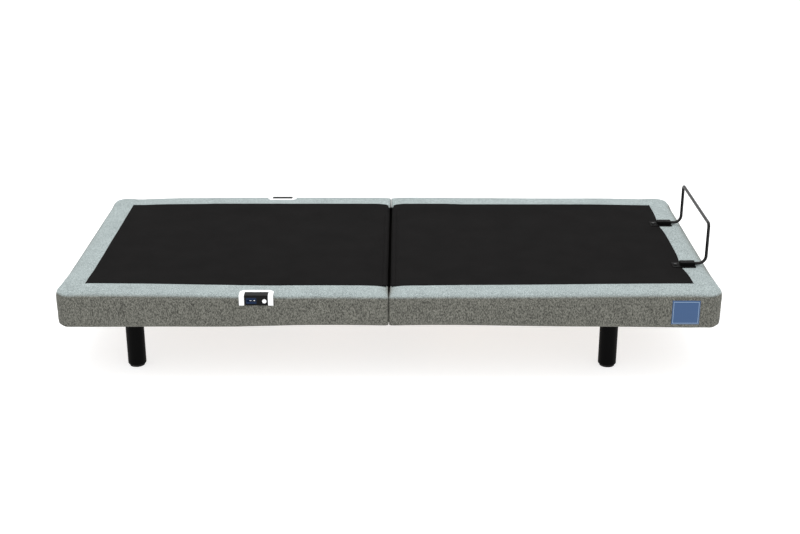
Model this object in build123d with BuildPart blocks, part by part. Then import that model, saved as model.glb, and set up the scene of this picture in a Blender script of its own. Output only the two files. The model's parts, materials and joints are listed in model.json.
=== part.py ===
from build123d import *
import os
from math import atan2, cos, degrees, hypot, radians, sin, sqrt

# Adjustable bed base. Millimetres, +Z up, origin on the floor under the middle of the seam.
# +X points to the foot end, -Y is the near long side.

# ---------------------------------------------------------------- driving dimensions
LENGTH = 2030
WIDTH = 965
DECK_HEIGHT = 280
SHELL_DEPTH = 108
SEAM_GAP = 8
CORNER_RADIUS = 60
SEAM_RADIUS = 14
EDGE_RADIUS = 8

COVER = 5  # padded fabric on top of the deck boards
PAD = 12  # padded fabric round the sides
BOARD = 15  # plywood
BORDER_SIDE = 88
BORDER_END = 80
APRON_RISE = 12  # apron's lower edge above the hem

TUBE = 25  # square tube of the two moving frames
TUBE_WALL = 2
TUBE_INNER_Y = WIDTH / 2 - 120.5
PLATE = 6  # steel plate thickness
HINGE_WASHER = 6
HINGE_X = 24
HINGE_DROP = 18
EAR_RADIUS = 10
SHOULDER_RADIUS = 5
RUNNING_FIT = 0.05

RAIL_WIDTH = 30
RAIL_HEIGHT = 40
RAIL_BOTTOM = DECK_HEIGHT - 106
RAIL_END_GAP = 70
CROSSMEMBER = 30
LEG_X = {-1: 217 - LENGTH / 2, 1: LENGTH / 2 - 326}
LEG_Y = WIDTH / 2 - 115.5
LEG_RADIUS = 28.5
LEG_FOOT_RADIUS = 4
LEG_PLATE = (90, 70)
LEG_PLATE_CORNER = 6
LEG_PLATE_THICKNESS = 4
GLIDE = 6
GLIDE_INSET = 5
BUMPER_RADIUS = 15
REST_GAP = 0.3

TORQUE_X = 22
TORQUE_Z = DECK_HEIGHT - 60
TORQUE_RADIUS = 15
BUSH_WALL = 4
ARM_LENGTH = 400
ARM_Y = TUBE_INNER_Y - 62
ARM_PLATE = 8
ARM_WIDTH = 24
ARM_DROP = 16
ROLLER_RADIUS = 20
ROLLER_WIDTH = 20
ROLLER_SIDE_GAP = 0.5
ROLLER_CHAMFER = 1.5
AXLE_RADIUS = 6
TRACK = 8
TRACK_WIDTH = 34
TRACK_START_X = ARM_LENGTH - 70

CRANK_Y = {-1: 60, 1: -60}
CRANK_LENGTH = 95
CRANK_REST_ANGLE = 70
CRANK_SLOT = (84.3, 95.2)
CRANK_SLOT_WIDTH = 14.6
CRANK_SLOT_SHIFT = 0.85
CRANK_WALL = 7
ROD_EYE_WIDTH = 14
PIN_RADIUS = 6
MOTOR_MEMBER_X = ARM_LENGTH + 100
MOTOR_X = MOTOR_MEMBER_X - 30
MOTOR_Z = DECK_HEIGHT - 139
MOTOR_TUBE_RADIUS = 20
ROD_RADIUS = 10

CONSOLE_X = 615 - LENGTH / 2
CONSOLE_WIDTH = 72
CONSOLE_DEPTH = 27
CONSOLE_HEIGHT = 30
CONSOLE_PROUD = 2
SURROUND_SIDE = 16
SURROUND_BACK = 14
SURROUND_THICKNESS = 3.5
BUTTON_RADIUS = 6.5
BUTTON_TRAVEL = 1.5
POCKET_GAP = 0.3

BAR_RADIUS = 5
BAR_HEIGHT = 140
BAR_CENTRE_Y = -20
BAR_HALF_SPAN = 200
BAR_X = LENGTH / 2 - BAR_RADIUS
BAR_INNER_X = LENGTH / 2 - 85
BAR_AXIS_RISE = 6.5
BRACKET_X = (LENGTH / 2 - 111, LENGTH / 2 - 39)
BRACKET_WIDTH = 44
BRACKET_THICKNESS = 2
SLEEVE_X = (LENGTH / 2 - 87, LENGTH / 2 - 41)
SLEEVE_WIDTH = 24
SLEEVE_HEIGHT = 13
SLEEVE_EDGE_RADIUS = 2

# ---------------------------------------------------------------- derived places
HEAD = -1
FOOT = 1
HALVES = {HEAD: "head", FOOT: "foot"}
SIDES = {-1: "near", 1: "far"}
ALONG_X = 0
ALONG_Y = 1
OVERCUT = 1  # how far a cutting block passes the face that it opens
TANGENT = (0.8, 0.6)  # where a 3-4-5 slope touches a round ear

SEAM_HALF = SEAM_GAP / 2
END_X = LENGTH / 2
SIDE_Y = WIDTH / 2
SHELL_BOTTOM = DECK_HEIGHT - SHELL_DEPTH
BOARD_TOP = DECK_HEIGHT - COVER
BOARD_BOTTOM = BOARD_TOP - BOARD
TUBE_BOTTOM = BOARD_BOTTOM - TUBE
APRON_BOTTOM = SHELL_BOTTOM + APRON_RISE
DECK_Y = SIDE_Y - BORDER_SIDE
BOARD_SEAM_X = SEAM_HALF + COVER

HINGE_Z = DECK_HEIGHT - HINGE_DROP
HINGE_ARM_Y = TUBE_INNER_Y + TUBE
WASHER_Y = HINGE_ARM_Y + PLATE
CENTRE_PLATE_Y = WASHER_Y + HINGE_WASHER
RAIL_Y = CENTRE_PLATE_Y + PLATE
RAIL_TOP = RAIL_BOTTOM + RAIL_HEIGHT
RAIL_END_X = END_X - RAIL_END_GAP
NOTCH_INSIDE = 9
NOTCH_OUTSIDE = 13
NOTCH_END = 16
NOTCH_Y = (HINGE_ARM_Y - NOTCH_INSIDE, RAIL_Y + NOTCH_OUTSIDE)
NOTCH_X = HINGE_X + NOTCH_END

TRACK_BOTTOM = BOARD_BOTTOM - TRACK
ROLLER_Z = TRACK_BOTTOM - REST_GAP - ROLLER_RADIUS
ARM_ANGLE = degrees(atan2(ROLLER_Z - TORQUE_Z, sqrt(ARM_LENGTH**2 - (ROLLER_Z - TORQUE_Z) ** 2)))
CRANK_PIN_X = TORQUE_X - CRANK_LENGTH * cos(radians(CRANK_REST_ANGLE))
CRANK_PIN_Z = TORQUE_Z - CRANK_LENGTH * sin(radians(CRANK_REST_ANGLE))
ROD_REACH = hypot(MOTOR_X + CRANK_PIN_X, MOTOR_Z - CRANK_PIN_Z)
ROD_DROP_ANGLE = degrees(atan2(MOTOR_Z - CRANK_PIN_Z, MOTOR_X + CRANK_PIN_X))


# ---------------------------------------------------------------- helpers
def save(piece, name):
    """Label a finished piece and write its STEP file."""
    piece.part.label = name
    export_step(piece.part, f"parts/{name}.step")


def upright(y):
    """Plane across the bed at y: sketch x is X and sketch y is Z."""
    return Plane(origin=(0, y, 0), x_dir=(1, 0, 0), z_dir=(0, -1, 0))


def box(x_range, y_range, z_range, mode=Mode.ADD):
    """Add a block between two corners, given as ranges in any order."""
    spans = [sorted(pair) for pair in (x_range, y_range, z_range)]
    sizes = [high - low for low, high in spans]
    with Locations([tuple((low + high) / 2 for low, high in spans)]):
        Box(*sizes, mode=mode)


def tube_along(axis, x_range, y_range, z_range):
    """Add a hollow rectangular tube, open at both ends of the given axis."""
    box(x_range, y_range, z_range)
    bore = []
    for place, pair in enumerate((x_range, y_range, z_range)):
        low, high = sorted(pair)
        bore.append((low, high) if place == axis else (low + TUBE_WALL, high - TUBE_WALL))
    box(*bore, mode=Mode.SUBTRACT)


def rod_along_y(x, z, radius, y_range, mode=Mode.ADD):
    """Add a round rod across the bed."""
    low, high = sorted(y_range)
    with Locations(Location((x, (low + high) / 2, z), (90, 0, 0))):
        Cylinder(radius, high - low, mode=mode)


# ---------------------------------------------------------------- upholstered halves
def half_outline(half, inset, seam_x, plan_radius):
    """Plan outline of one half, inset from the bed's outside."""
    end_x = END_X - inset
    side_y = SIDE_Y - inset
    with Locations((half * (seam_x + end_x) / 2, 0)):
        Rectangle(end_x - seam_x, 2 * side_y)
    corners = vertices().sort_by(Axis.X)
    outer = corners[:2] if half == HEAD else corners[-2:]
    fillet(outer, plan_radius)


def hinge_notches(half):
    """Clear the hinge ears out of the top layers."""
    for side in SIDES:
        box(
            (0, half * NOTCH_X),
            (side * NOTCH_Y[0], side * NOTCH_Y[1]),
            (BOARD_BOTTOM - TUBE, BOARD_TOP),
            mode=Mode.SUBTRACT,
        )


def console_pockets(half):
    """Clear the two console housings out of the head half's edge."""
    reach = CONSOLE_WIDTH / 2 + POCKET_GAP
    if half == HEAD:
        for side in SIDES:
            box(
                (CONSOLE_X - reach, CONSOLE_X + reach),
                (side * (SIDE_Y - CONSOLE_DEPTH - POCKET_GAP), side * (SIDE_Y + PAD)),
                (DECK_HEIGHT - CONSOLE_HEIGHT - POCKET_GAP, DECK_HEIGHT + COVER),
                mode=Mode.SUBTRACT,
            )


def seam_top_edge(solid):
    """The top edge that runs along the seam."""
    top_edges = solid.edges().filter_by(Axis.Y).group_by(Axis.Z)[-1]
    return top_edges.sort_by(lambda edge: abs(edge.center().X))[0]


def make_board(half):
    """Plywood deck board of one half, with its seam edge rounded under the cover."""
    with BuildPart() as board:
        with BuildSketch(Plane.XY.offset(BOARD_BOTTOM)):
            half_outline(half, PAD, BOARD_SEAM_X, CORNER_RADIUS - PAD)
        extrude(amount=BOARD)
        fillet(seam_top_edge(board), SEAM_RADIUS - COVER)
    return board


def make_cover(half, board):
    """Hollow fabric cover of one half: top, skirt and the turned-down seam edge."""
    with BuildPart() as cover:
        with BuildSketch(Plane.XY.offset(SHELL_BOTTOM)):
            half_outline(half, 0, SEAM_HALF, CORNER_RADIUS)
        extrude(amount=SHELL_DEPTH)
        rim = cover.edges().group_by(Axis.Z)[-1] - ShapeList([seam_top_edge(cover)])
        fillet(rim, EDGE_RADIUS)
        fillet(seam_top_edge(cover), SEAM_RADIUS)
        with BuildSketch(Plane.XY.offset(SHELL_BOTTOM)):
            half_outline(half, PAD, BOARD_SEAM_X, CORNER_RADIUS - PAD)
        extrude(amount=BOARD_BOTTOM - SHELL_BOTTOM, mode=Mode.SUBTRACT)
        add(board.part, mode=Mode.SUBTRACT)
        box(
            (0, half * BOARD_SEAM_X),
            (PAD - SIDE_Y, SIDE_Y - PAD),
            (SHELL_BOTTOM, BOARD_BOTTOM),
            mode=Mode.SUBTRACT,
        )
        hinge_notches(half)
    return cover


def make_upholstery(half):
    """Deck board, black deck pad and grey border of one half."""
    name = HALVES[half]
    board = make_board(half)
    cover = make_cover(half, board)
    deck = {
        "x_range": (0, half * (END_X - BORDER_END)),
        "y_range": (-DECK_Y, DECK_Y),
        "z_range": (BOARD_BOTTOM, DECK_HEIGHT),
    }

    with BuildPart() as deck_board:
        add(board.part)
        hinge_notches(half)
        console_pockets(half)
    save(deck_board, f"{name}_deck_board")

    with BuildPart() as deck_pad:
        add(cover.part)
        box(**deck, mode=Mode.INTERSECT)
    save(deck_pad, f"{name}_deck_pad")

    with BuildPart() as border:
        add(cover.part)
        box(**deck, mode=Mode.SUBTRACT)
        console_pockets(half)
    save(border, f"{name}_border")


def make_apron(half):
    """Plywood apron under the deck board: two sides, two bent corners and the end, in one strip."""
    with BuildPart() as apron:
        with BuildSketch(Plane.XY.offset(APRON_BOTTOM)):
            half_outline(half, PAD, BOARD_SEAM_X, CORNER_RADIUS - PAD)
        extrude(amount=BOARD_BOTTOM - APRON_BOTTOM)
        with BuildSketch(Plane.XY.offset(APRON_BOTTOM)):
            half_outline(half, PAD + BOARD, 0, CORNER_RADIUS - PAD - BOARD)
        extrude(amount=BOARD_BOTTOM - APRON_BOTTOM, mode=Mode.SUBTRACT)
        console_pockets(half)
    save(apron, f"{HALVES[half]}_apron")


# ---------------------------------------------------------------- moving steel frames
FRAME_START_X = 44
FRAME_END_X = END_X - 55
HINGE_ARM_X = 140
HINGE_ARM_BOTTOM = TUBE_BOTTOM + 2
CROSSBARS_X = (ARM_LENGTH + 100, FRAME_END_X - 240, FRAME_END_X - TUBE / 2)
STRETCHER_X = (60, 100)
STRETCHER = 6


def make_longerons(half):
    """Two square tubes, each with the flat hinge arm welded on its outer side."""
    with BuildPart() as longerons:
        for side in SIDES:
            tube_along(
                ALONG_X,
                (half * FRAME_START_X, half * FRAME_END_X),
                (side * TUBE_INNER_Y, side * HINGE_ARM_Y),
                (TUBE_BOTTOM, BOARD_BOTTOM),
            )
            with BuildSketch(upright(side * (HINGE_ARM_Y + PLATE / 2))):
                with Locations((half * HINGE_X, HINGE_Z)):
                    Circle(EAR_RADIUS)
                with BuildLine():
                    Polyline(
                        (half * HINGE_X, HINGE_Z - EAR_RADIUS),
                        (half * NOTCH_X, HINGE_ARM_BOTTOM),
                        (half * HINGE_ARM_X, HINGE_ARM_BOTTOM),
                        (half * HINGE_ARM_X, BOARD_BOTTOM),
                        (half * NOTCH_X, BOARD_BOTTOM),
                        (half * (HINGE_X + TANGENT[0] * EAR_RADIUS), HINGE_Z + TANGENT[1] * EAR_RADIUS),
                        close=True,
                    )
                make_face()
                with Locations((half * HINGE_X, HINGE_Z)):
                    Circle(SHOULDER_RADIUS + RUNNING_FIT, mode=Mode.SUBTRACT)
            extrude(amount=PLATE / 2, both=True)
    save(longerons, f"{HALVES[half]}_longerons")


def make_crossbars(half):
    """Three square crossbars and a flat stretcher near the hinge."""
    with BuildPart() as crossbars:
        for x in CROSSBARS_X:
            tube_along(
                ALONG_Y,
                (half * (x - TUBE / 2), half * (x + TUBE / 2)),
                (-TUBE_INNER_Y, TUBE_INNER_Y),
                (TUBE_BOTTOM, BOARD_BOTTOM),
            )
        box(
            (half * STRETCHER_X[0], half * STRETCHER_X[1]),
            (-TUBE_INNER_Y, TUBE_INNER_Y),
            (BOARD_BOTTOM - STRETCHER, BOARD_BOTTOM),
        )
    save(crossbars, f"{HALVES[half]}_crossbars")


def make_tracks(half):
    """Two flat tracks under the deck board, which the lift rollers push on."""
    with BuildPart() as tracks:
        for side in SIDES:
            box(
                (half * TRACK_START_X, half * (CROSSBARS_X[0] - TUBE / 2)),
                (side * (ARM_Y - TRACK_WIDTH / 2), side * (ARM_Y + TRACK_WIDTH / 2)),
                (TRACK_BOTTOM, BOARD_BOTTOM),
            )
    save(tracks, f"{HALVES[half]}_roller_tracks")


# ---------------------------------------------------------------- standing chassis
CENTRE_PLATE_X = 120
CENTRE_PLATE_BOTTOM = RAIL_BOTTOM + 2
CENTRE_PLATE_TOP = HINGE_Z - 16
SEAM_GUARD_WIDTH = 10
SEAM_GUARD_THICKNESS = 2.5
SEAM_GUARD_END_Y = SIDE_Y - 20
LEG_TOP = RAIL_BOTTOM - LEG_PLATE_THICKNESS
END_MEMBER_X = RAIL_END_X - CROSSMEMBER / 2
HEADBOARD_BOLT_Y = 250
HEADBOARD_BOLT_SPACING = 50
HEADBOARD_BOLT_RADIUS = 4.25


def make_rails():
    """Two long rails."""
    with BuildPart() as rails:
        for side in SIDES:
            tube_along(
                ALONG_X,
                (-RAIL_END_X, RAIL_END_X),
                (side * RAIL_Y, side * (RAIL_Y + RAIL_WIDTH)),
                (RAIL_BOTTOM, RAIL_TOP),
            )
    save(rails, "chassis_rails")


def make_crossmembers():
    """End crossmembers, with headboard bolt holes at the head end, and the two that carry the legs."""
    with BuildPart() as crossmembers:
        for x in (-END_MEMBER_X, LEG_X[HEAD], LEG_X[FOOT], END_MEMBER_X):
            tube_along(
                ALONG_Y,
                (x - CROSSMEMBER / 2, x + CROSSMEMBER / 2),
                (-RAIL_Y, RAIL_Y),
                (RAIL_BOTTOM, RAIL_TOP),
            )
        with BuildSketch(Plane.XY.offset(RAIL_BOTTOM)):
            for side in SIDES:
                with Locations((-END_MEMBER_X, side * HEADBOARD_BOLT_Y)):
                    with GridLocations(0, HEADBOARD_BOLT_SPACING, 1, 2):
                        Circle(HEADBOARD_BOLT_RADIUS)
        extrude(amount=RAIL_HEIGHT, mode=Mode.SUBTRACT)
    save(crossmembers, "chassis_crossmembers")


CLEVIS_GAP = ROD_EYE_WIDTH / 2 + 5
CLEVIS_EYE_RADIUS = 12
CLEVIS_SLOPE_X = TANGENT[0] * CLEVIS_EYE_RADIUS
CLEVIS_SLOPE_Z = TANGENT[1] * CLEVIS_EYE_RADIUS
PIN_OVERHANG = 3


def make_motor_member(half):
    """Crossmember with the clevis and pin that hold the rear end of one half's motor."""
    x = -half * MOTOR_MEMBER_X
    pivot_x = -half * MOTOR_X
    y = CRANK_Y[half]
    with BuildPart() as member:
        beam_x = (x - CROSSMEMBER / 2, x + CROSSMEMBER / 2)
        tube_along(ALONG_Y, beam_x, (-RAIL_Y, RAIL_Y), (RAIL_BOTTOM, RAIL_TOP))
        for side in SIDES:
            with BuildSketch(upright(y + side * (CLEVIS_GAP + PLATE / 2))):
                with BuildLine():
                    Polyline(
                        (x + CROSSMEMBER / 2, RAIL_BOTTOM),
                        (x - CROSSMEMBER / 2, RAIL_BOTTOM),
                        (pivot_x - CLEVIS_SLOPE_X, MOTOR_Z - half * CLEVIS_SLOPE_Z),
                        (pivot_x + CLEVIS_SLOPE_X, MOTOR_Z + half * CLEVIS_SLOPE_Z),
                        close=True,
                    )
                make_face()
                with Locations((pivot_x, MOTOR_Z)):
                    Circle(CLEVIS_EYE_RADIUS)
            extrude(amount=PLATE / 2, both=True)
        reach = CLEVIS_GAP + PLATE + PIN_OVERHANG
        rod_along_y(pivot_x, MOTOR_Z, PIN_RADIUS, (y - reach, y + reach))
    save(member, f"{HALVES[half]}_motor_member")


def make_centre_plate(side):
    """Plate on the inner face of a rail, with one ear for each half and two torque tube holes."""
    with BuildPart() as plate:
        with BuildSketch(upright(side * (CENTRE_PLATE_Y + PLATE / 2))):
            with Locations((0, (CENTRE_PLATE_BOTTOM + CENTRE_PLATE_TOP) / 2)):
                Rectangle(2 * CENTRE_PLATE_X, CENTRE_PLATE_TOP - CENTRE_PLATE_BOTTOM)
            for half in HALVES:
                with Locations((half * HINGE_X, (CENTRE_PLATE_TOP + HINGE_Z) / 2)):
                    Rectangle(2 * EAR_RADIUS, HINGE_Z - CENTRE_PLATE_TOP)
                with Locations((half * HINGE_X, HINGE_Z)):
                    Circle(EAR_RADIUS)
                    Circle(SHOULDER_RADIUS, mode=Mode.SUBTRACT)
                with Locations((half * TORQUE_X, TORQUE_Z)):
                    Circle(TORQUE_RADIUS + BUSH_WALL, mode=Mode.SUBTRACT)
        extrude(amount=PLATE / 2, both=True)
    save(plate, f"centre_plate_{SIDES[side]}")


def make_seam_guard():
    """Flat steel strip on the two centre plates, which closes the seam from below."""
    with BuildPart() as guard:
        box(
            (-SEAM_GUARD_WIDTH / 2, SEAM_GUARD_WIDTH / 2),
            (-SEAM_GUARD_END_Y, SEAM_GUARD_END_Y),
            (CENTRE_PLATE_TOP, CENTRE_PLATE_TOP + SEAM_GUARD_THICKNESS),
        )
    save(guard, "seam_guard")


BOLT_HEAD_RADIUS = 8
BOLT_HEAD = 4
NUT = 5


def make_hinge_bolts():
    """Four shoulder bolts, each with a round head inside and a hexagon nut outside."""
    with BuildPart() as bolts:
        for side in SIDES:
            for half in HALVES:
                x = half * HINGE_X
                head_y = HINGE_ARM_Y - REST_GAP
                rod_along_y(x, HINGE_Z, BOLT_HEAD_RADIUS, (side * (head_y - BOLT_HEAD), side * head_y))
                rod_along_y(x, HINGE_Z, SHOULDER_RADIUS, (side * head_y, side * (RAIL_Y + NUT)))
                with BuildSketch(upright(side * (RAIL_Y + NUT / 2))):
                    with Locations((x, HINGE_Z)):
                        RegularPolygon(BOLT_HEAD_RADIUS, 6)
                extrude(amount=NUT / 2, both=True)
    save(bolts, "hinge_bolts")


def make_bearings():
    """Nylon washers at the four hinges and nylon bushes of the two torque tubes."""
    with BuildPart() as bearings:
        for side in SIDES:
            for half in HALVES:
                washer = (side * (WASHER_Y + REST_GAP), side * CENTRE_PLATE_Y)
                rod_along_y(half * HINGE_X, HINGE_Z, EAR_RADIUS, washer)
                rod_along_y(half * HINGE_X, HINGE_Z, SHOULDER_RADIUS, washer, Mode.SUBTRACT)
                bush = (side * CENTRE_PLATE_Y, side * RAIL_Y)
                rod_along_y(half * TORQUE_X, TORQUE_Z, TORQUE_RADIUS + BUSH_WALL, bush)
                rod_along_y(half * TORQUE_X, TORQUE_Z, TORQUE_RADIUS + RUNNING_FIT, bush, Mode.SUBTRACT)
    save(bearings, "nylon_bearings")


def make_bumpers():
    """Four rubber bumpers on the end crossmembers, just under the lowered frames."""
    with BuildPart() as bumpers:
        with BuildSketch(Plane.XY.offset(RAIL_TOP)):
            with GridLocations(2 * END_MEMBER_X, 2 * (TUBE_INNER_Y + TUBE / 2), 2, 2):
                Circle(BUMPER_RADIUS)
        extrude(amount=TUBE_BOTTOM - REST_GAP - RAIL_TOP)
    save(bumpers, "rest_bumpers")


def make_legs():
    """Four round legs, each with a square top plate, and their rubber glides."""
    for half in HALVES:
        for side in SIDES:
            with BuildPart() as leg:
                with BuildSketch(Plane.XY.offset(GLIDE)):
                    with Locations((LEG_X[half], side * LEG_Y)):
                        Circle(LEG_RADIUS)
                extrude(amount=LEG_TOP - GLIDE)
                foot_edge = edges().filter_by(GeomType.CIRCLE).sort_by(Axis.Z)[0]
                fillet(foot_edge, LEG_FOOT_RADIUS)
                with BuildSketch(Plane.XY.offset(LEG_TOP)):
                    with Locations((LEG_X[half], side * LEG_Y)):
                        RectangleRounded(*LEG_PLATE, LEG_PLATE_CORNER)
                extrude(amount=LEG_PLATE_THICKNESS)
            save(leg, f"leg_{HALVES[half]}_{SIDES[side]}")

    with BuildPart() as glides:
        with BuildSketch():
            for half in HALVES:
                for side in SIDES:
                    with Locations((LEG_X[half], side * LEG_Y)):
                        Circle(LEG_RADIUS - GLIDE_INSET)
        extrude(amount=GLIDE)
    save(glides, "leg_glides")


CONTROL_LENGTH = 160
CONTROL_WIDTH = 90
CONTROL_HEIGHT = 34
CONTROL_Y = 150
CONTROL_CORNER = 5
INLET_WIDTH = 30
INLET_HEIGHT = 22
INLET_DEPTH = 18
INLET_FLANGE = 1
INLET_CAVITY = (20, 12, 15)
INLET_PIN_SETBACK = 3
INLET_PIN_RADIUS = 1.2
INLET_PIN_SPACING = 8.6


def make_control_box():
    """Control box on the head end of the foot motor's crossmember, with a two-pin mains inlet."""
    face_x = -MOTOR_MEMBER_X - CROSSMEMBER / 2
    far_x = face_x - CONTROL_WIDTH
    middle_z = RAIL_TOP - RAIL_HEIGHT / 2
    inlet_y = (CONTROL_Y - INLET_WIDTH / 2, CONTROL_Y + INLET_WIDTH / 2)
    inlet_z = (middle_z - INLET_HEIGHT / 2, middle_z + INLET_HEIGHT / 2)
    with BuildPart() as control_box:
        box(
            (far_x, face_x),
            (CONTROL_Y - CONTROL_LENGTH / 2, CONTROL_Y + CONTROL_LENGTH / 2),
            (middle_z - CONTROL_HEIGHT / 2, middle_z + CONTROL_HEIGHT / 2),
        )
        fillet(edges().filter_by(Axis.Z), CONTROL_CORNER)
        box((far_x, far_x + INLET_DEPTH), inlet_y, inlet_z, mode=Mode.SUBTRACT)
    save(control_box, "control_box")

    with BuildPart() as inlet:
        front_x = far_x - INLET_FLANGE
        box((front_x, far_x + INLET_DEPTH), inlet_y, inlet_z)
        box(
            (front_x, front_x + INLET_CAVITY[2]),
            (CONTROL_Y - INLET_CAVITY[0] / 2, CONTROL_Y + INLET_CAVITY[0] / 2),
            (middle_z - INLET_CAVITY[1] / 2, middle_z + INLET_CAVITY[1] / 2),
            mode=Mode.SUBTRACT,
        )
        with BuildSketch(Plane.YZ.offset(front_x + INLET_PIN_SETBACK)):
            for side in SIDES:
                with Locations((CONTROL_Y + side * INLET_PIN_SPACING / 2, middle_z)):
                    Circle(INLET_PIN_RADIUS)
        extrude(amount=INLET_CAVITY[2] - INLET_PIN_SETBACK)
    save(inlet, "mains_inlet")


# ---------------------------------------------------------------- lift mechanism
ARM_INNER_Y = ARM_Y + ROLLER_WIDTH / 2 + ROLLER_SIDE_GAP
AXLE_INNER_Y = ARM_Y - ROLLER_WIDTH / 2 - ROLLER_SIDE_GAP
ARM_EYE_RADIUS = 20
ARM_TIP_RADIUS = 16
ARM_BEND = 60
AXLE_HEAD = 4
AXLE_HEAD_RADIUS = 9
CRANK_SIDE_GAP = 1
CRANK_PLATE_Y = ROD_EYE_WIDTH / 2 + CRANK_SIDE_GAP + PLATE / 2
TORQUE_END_GAP = 1


def arm_plane(half, y):
    """Plane across the bed at y, origin on the torque tube, sketch x along the arm to its roller."""
    angle = radians(ARM_ANGLE)
    along = (half * cos(angle), 0, sin(angle))
    return Plane(origin=(half * TORQUE_X, y, TORQUE_Z), x_dir=along, z_dir=(0, -half, 0))


def crank_plane(half, y):
    """Plane across the bed at y, origin on the torque tube, sketch x along the hanging crank."""
    down = radians(CRANK_REST_ANGLE)
    along = (-half * cos(down), 0, -sin(down))
    return Plane(origin=(half * TORQUE_X, y, TORQUE_Z), x_dir=along, z_dir=(0, half, 0))


def stadium(start, end, width, mode=Mode.ADD):
    """A slot shape from one point to another."""
    middle = ((start[0] + end[0]) / 2, (start[1] + end[1]) / 2)
    span = hypot(end[0] - start[0], end[1] - start[1])
    turn = degrees(atan2(end[1] - start[1], end[0] - start[0]))
    with Locations(Location((middle[0], middle[1], 0), (0, 0, turn))):
        SlotCenterToCenter(span, width, mode=mode)


def make_lift(half):
    """Torque tube, two cranked lift arms with axles, double crank and two rollers of one half."""
    name = HALVES[half]
    tube_end = RAIL_Y - TORQUE_END_GAP

    with BuildPart() as torque_tube:
        length = (-tube_end, tube_end)
        rod_along_y(half * TORQUE_X, TORQUE_Z, TORQUE_RADIUS, length)
        rod_along_y(half * TORQUE_X, TORQUE_Z, TORQUE_RADIUS - TUBE_WALL, length, Mode.SUBTRACT)
    save(torque_tube, f"{name}_torque_tube")

    with BuildPart() as lift_arms:
        for side in SIDES:
            middle_y = side * (ARM_INNER_Y + ARM_PLATE / 2)
            with BuildSketch(arm_plane(half, middle_y)):
                Circle(ARM_EYE_RADIUS)
                stadium((0, 0), (ARM_BEND, -ARM_DROP), ARM_WIDTH)
                stadium((ARM_BEND, -ARM_DROP), (ARM_LENGTH - ARM_BEND, -ARM_DROP), ARM_WIDTH)
                stadium((ARM_LENGTH - ARM_BEND, -ARM_DROP), (ARM_LENGTH, 0), ARM_WIDTH)
                with Locations((ARM_LENGTH, 0)):
                    Circle(ARM_TIP_RADIUS)
                Circle(TORQUE_RADIUS, mode=Mode.SUBTRACT)
            extrude(amount=ARM_PLATE / 2, both=True)
            for radius, low, high in (
                (AXLE_RADIUS, AXLE_INNER_Y, ARM_INNER_Y),
                (AXLE_HEAD_RADIUS, AXLE_INNER_Y - AXLE_HEAD, AXLE_INNER_Y),
            ):
                with BuildSketch(arm_plane(half, side * (low + high) / 2)):
                    with Locations((ARM_LENGTH, 0)):
                        Circle(radius)
                extrude(amount=(high - low) / 2, both=True)
    save(lift_arms, f"{name}_lift_arms")

    for side in SIDES:
        with BuildPart() as roller:
            with BuildSketch(arm_plane(half, side * ARM_Y)):
                with Locations((ARM_LENGTH, 0)):
                    Circle(ROLLER_RADIUS)
                    Circle(AXLE_RADIUS + RUNNING_FIT, mode=Mode.SUBTRACT)
            extrude(amount=ROLLER_WIDTH / 2, both=True)
            chamfer(edges().filter_by(GeomType.CIRCLE).group_by(SortBy.RADIUS)[-1], ROLLER_CHAMFER)
        save(roller, f"{name}_roller_{SIDES[side]}")

    with BuildPart() as crank:
        for side in SIDES:
            with BuildSketch(crank_plane(half, CRANK_Y[half] + side * CRANK_PLATE_Y)):
                Circle(TORQUE_RADIUS + CRANK_WALL)
                stadium((0, 0), (CRANK_SLOT[1], 0), CRANK_SLOT_WIDTH + 2 * CRANK_WALL)
                slot_start = (CRANK_SLOT[0], CRANK_SLOT_SHIFT)
                stadium(slot_start, (CRANK_SLOT[1], CRANK_SLOT_SHIFT), CRANK_SLOT_WIDTH, Mode.SUBTRACT)
                Circle(TORQUE_RADIUS, mode=Mode.SUBTRACT)
            extrude(amount=PLATE / 2, both=True)
    save(crank, f"{name}_crank")


GEARBOX_X = (20, 72)
GEARBOX_HALF = 26
GEARBOX_CORNER = 10
MOTOR_RADIUS = 25
MOTOR_LENGTH = 118
MOTOR_SIDE_Y = 58
REAR_EYE_RADIUS = 12
REAR_EYE_GAP = 1
REAR_NECK = 17
MOTOR_TUBE_END = 300
MOTOR_TUBE_WALL = 3
TUBE_NOSE = 14
ROD_START = 110
ROD_EYE_RADIUS = 13
ROD_NECK = 45
ROD_NECK_HEIGHT = 16


def motor_plane(half, y):
    """Plane across the bed at y, origin on the motor's rear pivot, sketch x along its push rod."""
    drop = radians(ROD_DROP_ANGLE)
    along = (half * cos(drop), 0, -sin(drop))
    return Plane(origin=(-half * MOTOR_X, y, MOTOR_Z), x_dir=along, z_dir=(0, -half, 0))


def rod_plane(half, distance):
    """Plane square to the push rod, at a distance from the motor's rear pivot."""
    drop = radians(ROD_DROP_ANGLE)
    along = (half * cos(drop), 0, -sin(drop))
    start = (-half * MOTOR_X, CRANK_Y[half], MOTOR_Z)
    origin = [place + distance * step for place, step in zip(start, along)]
    return Plane(origin=tuple(origin), x_dir=(0, 1, 0), z_dir=along)


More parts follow.
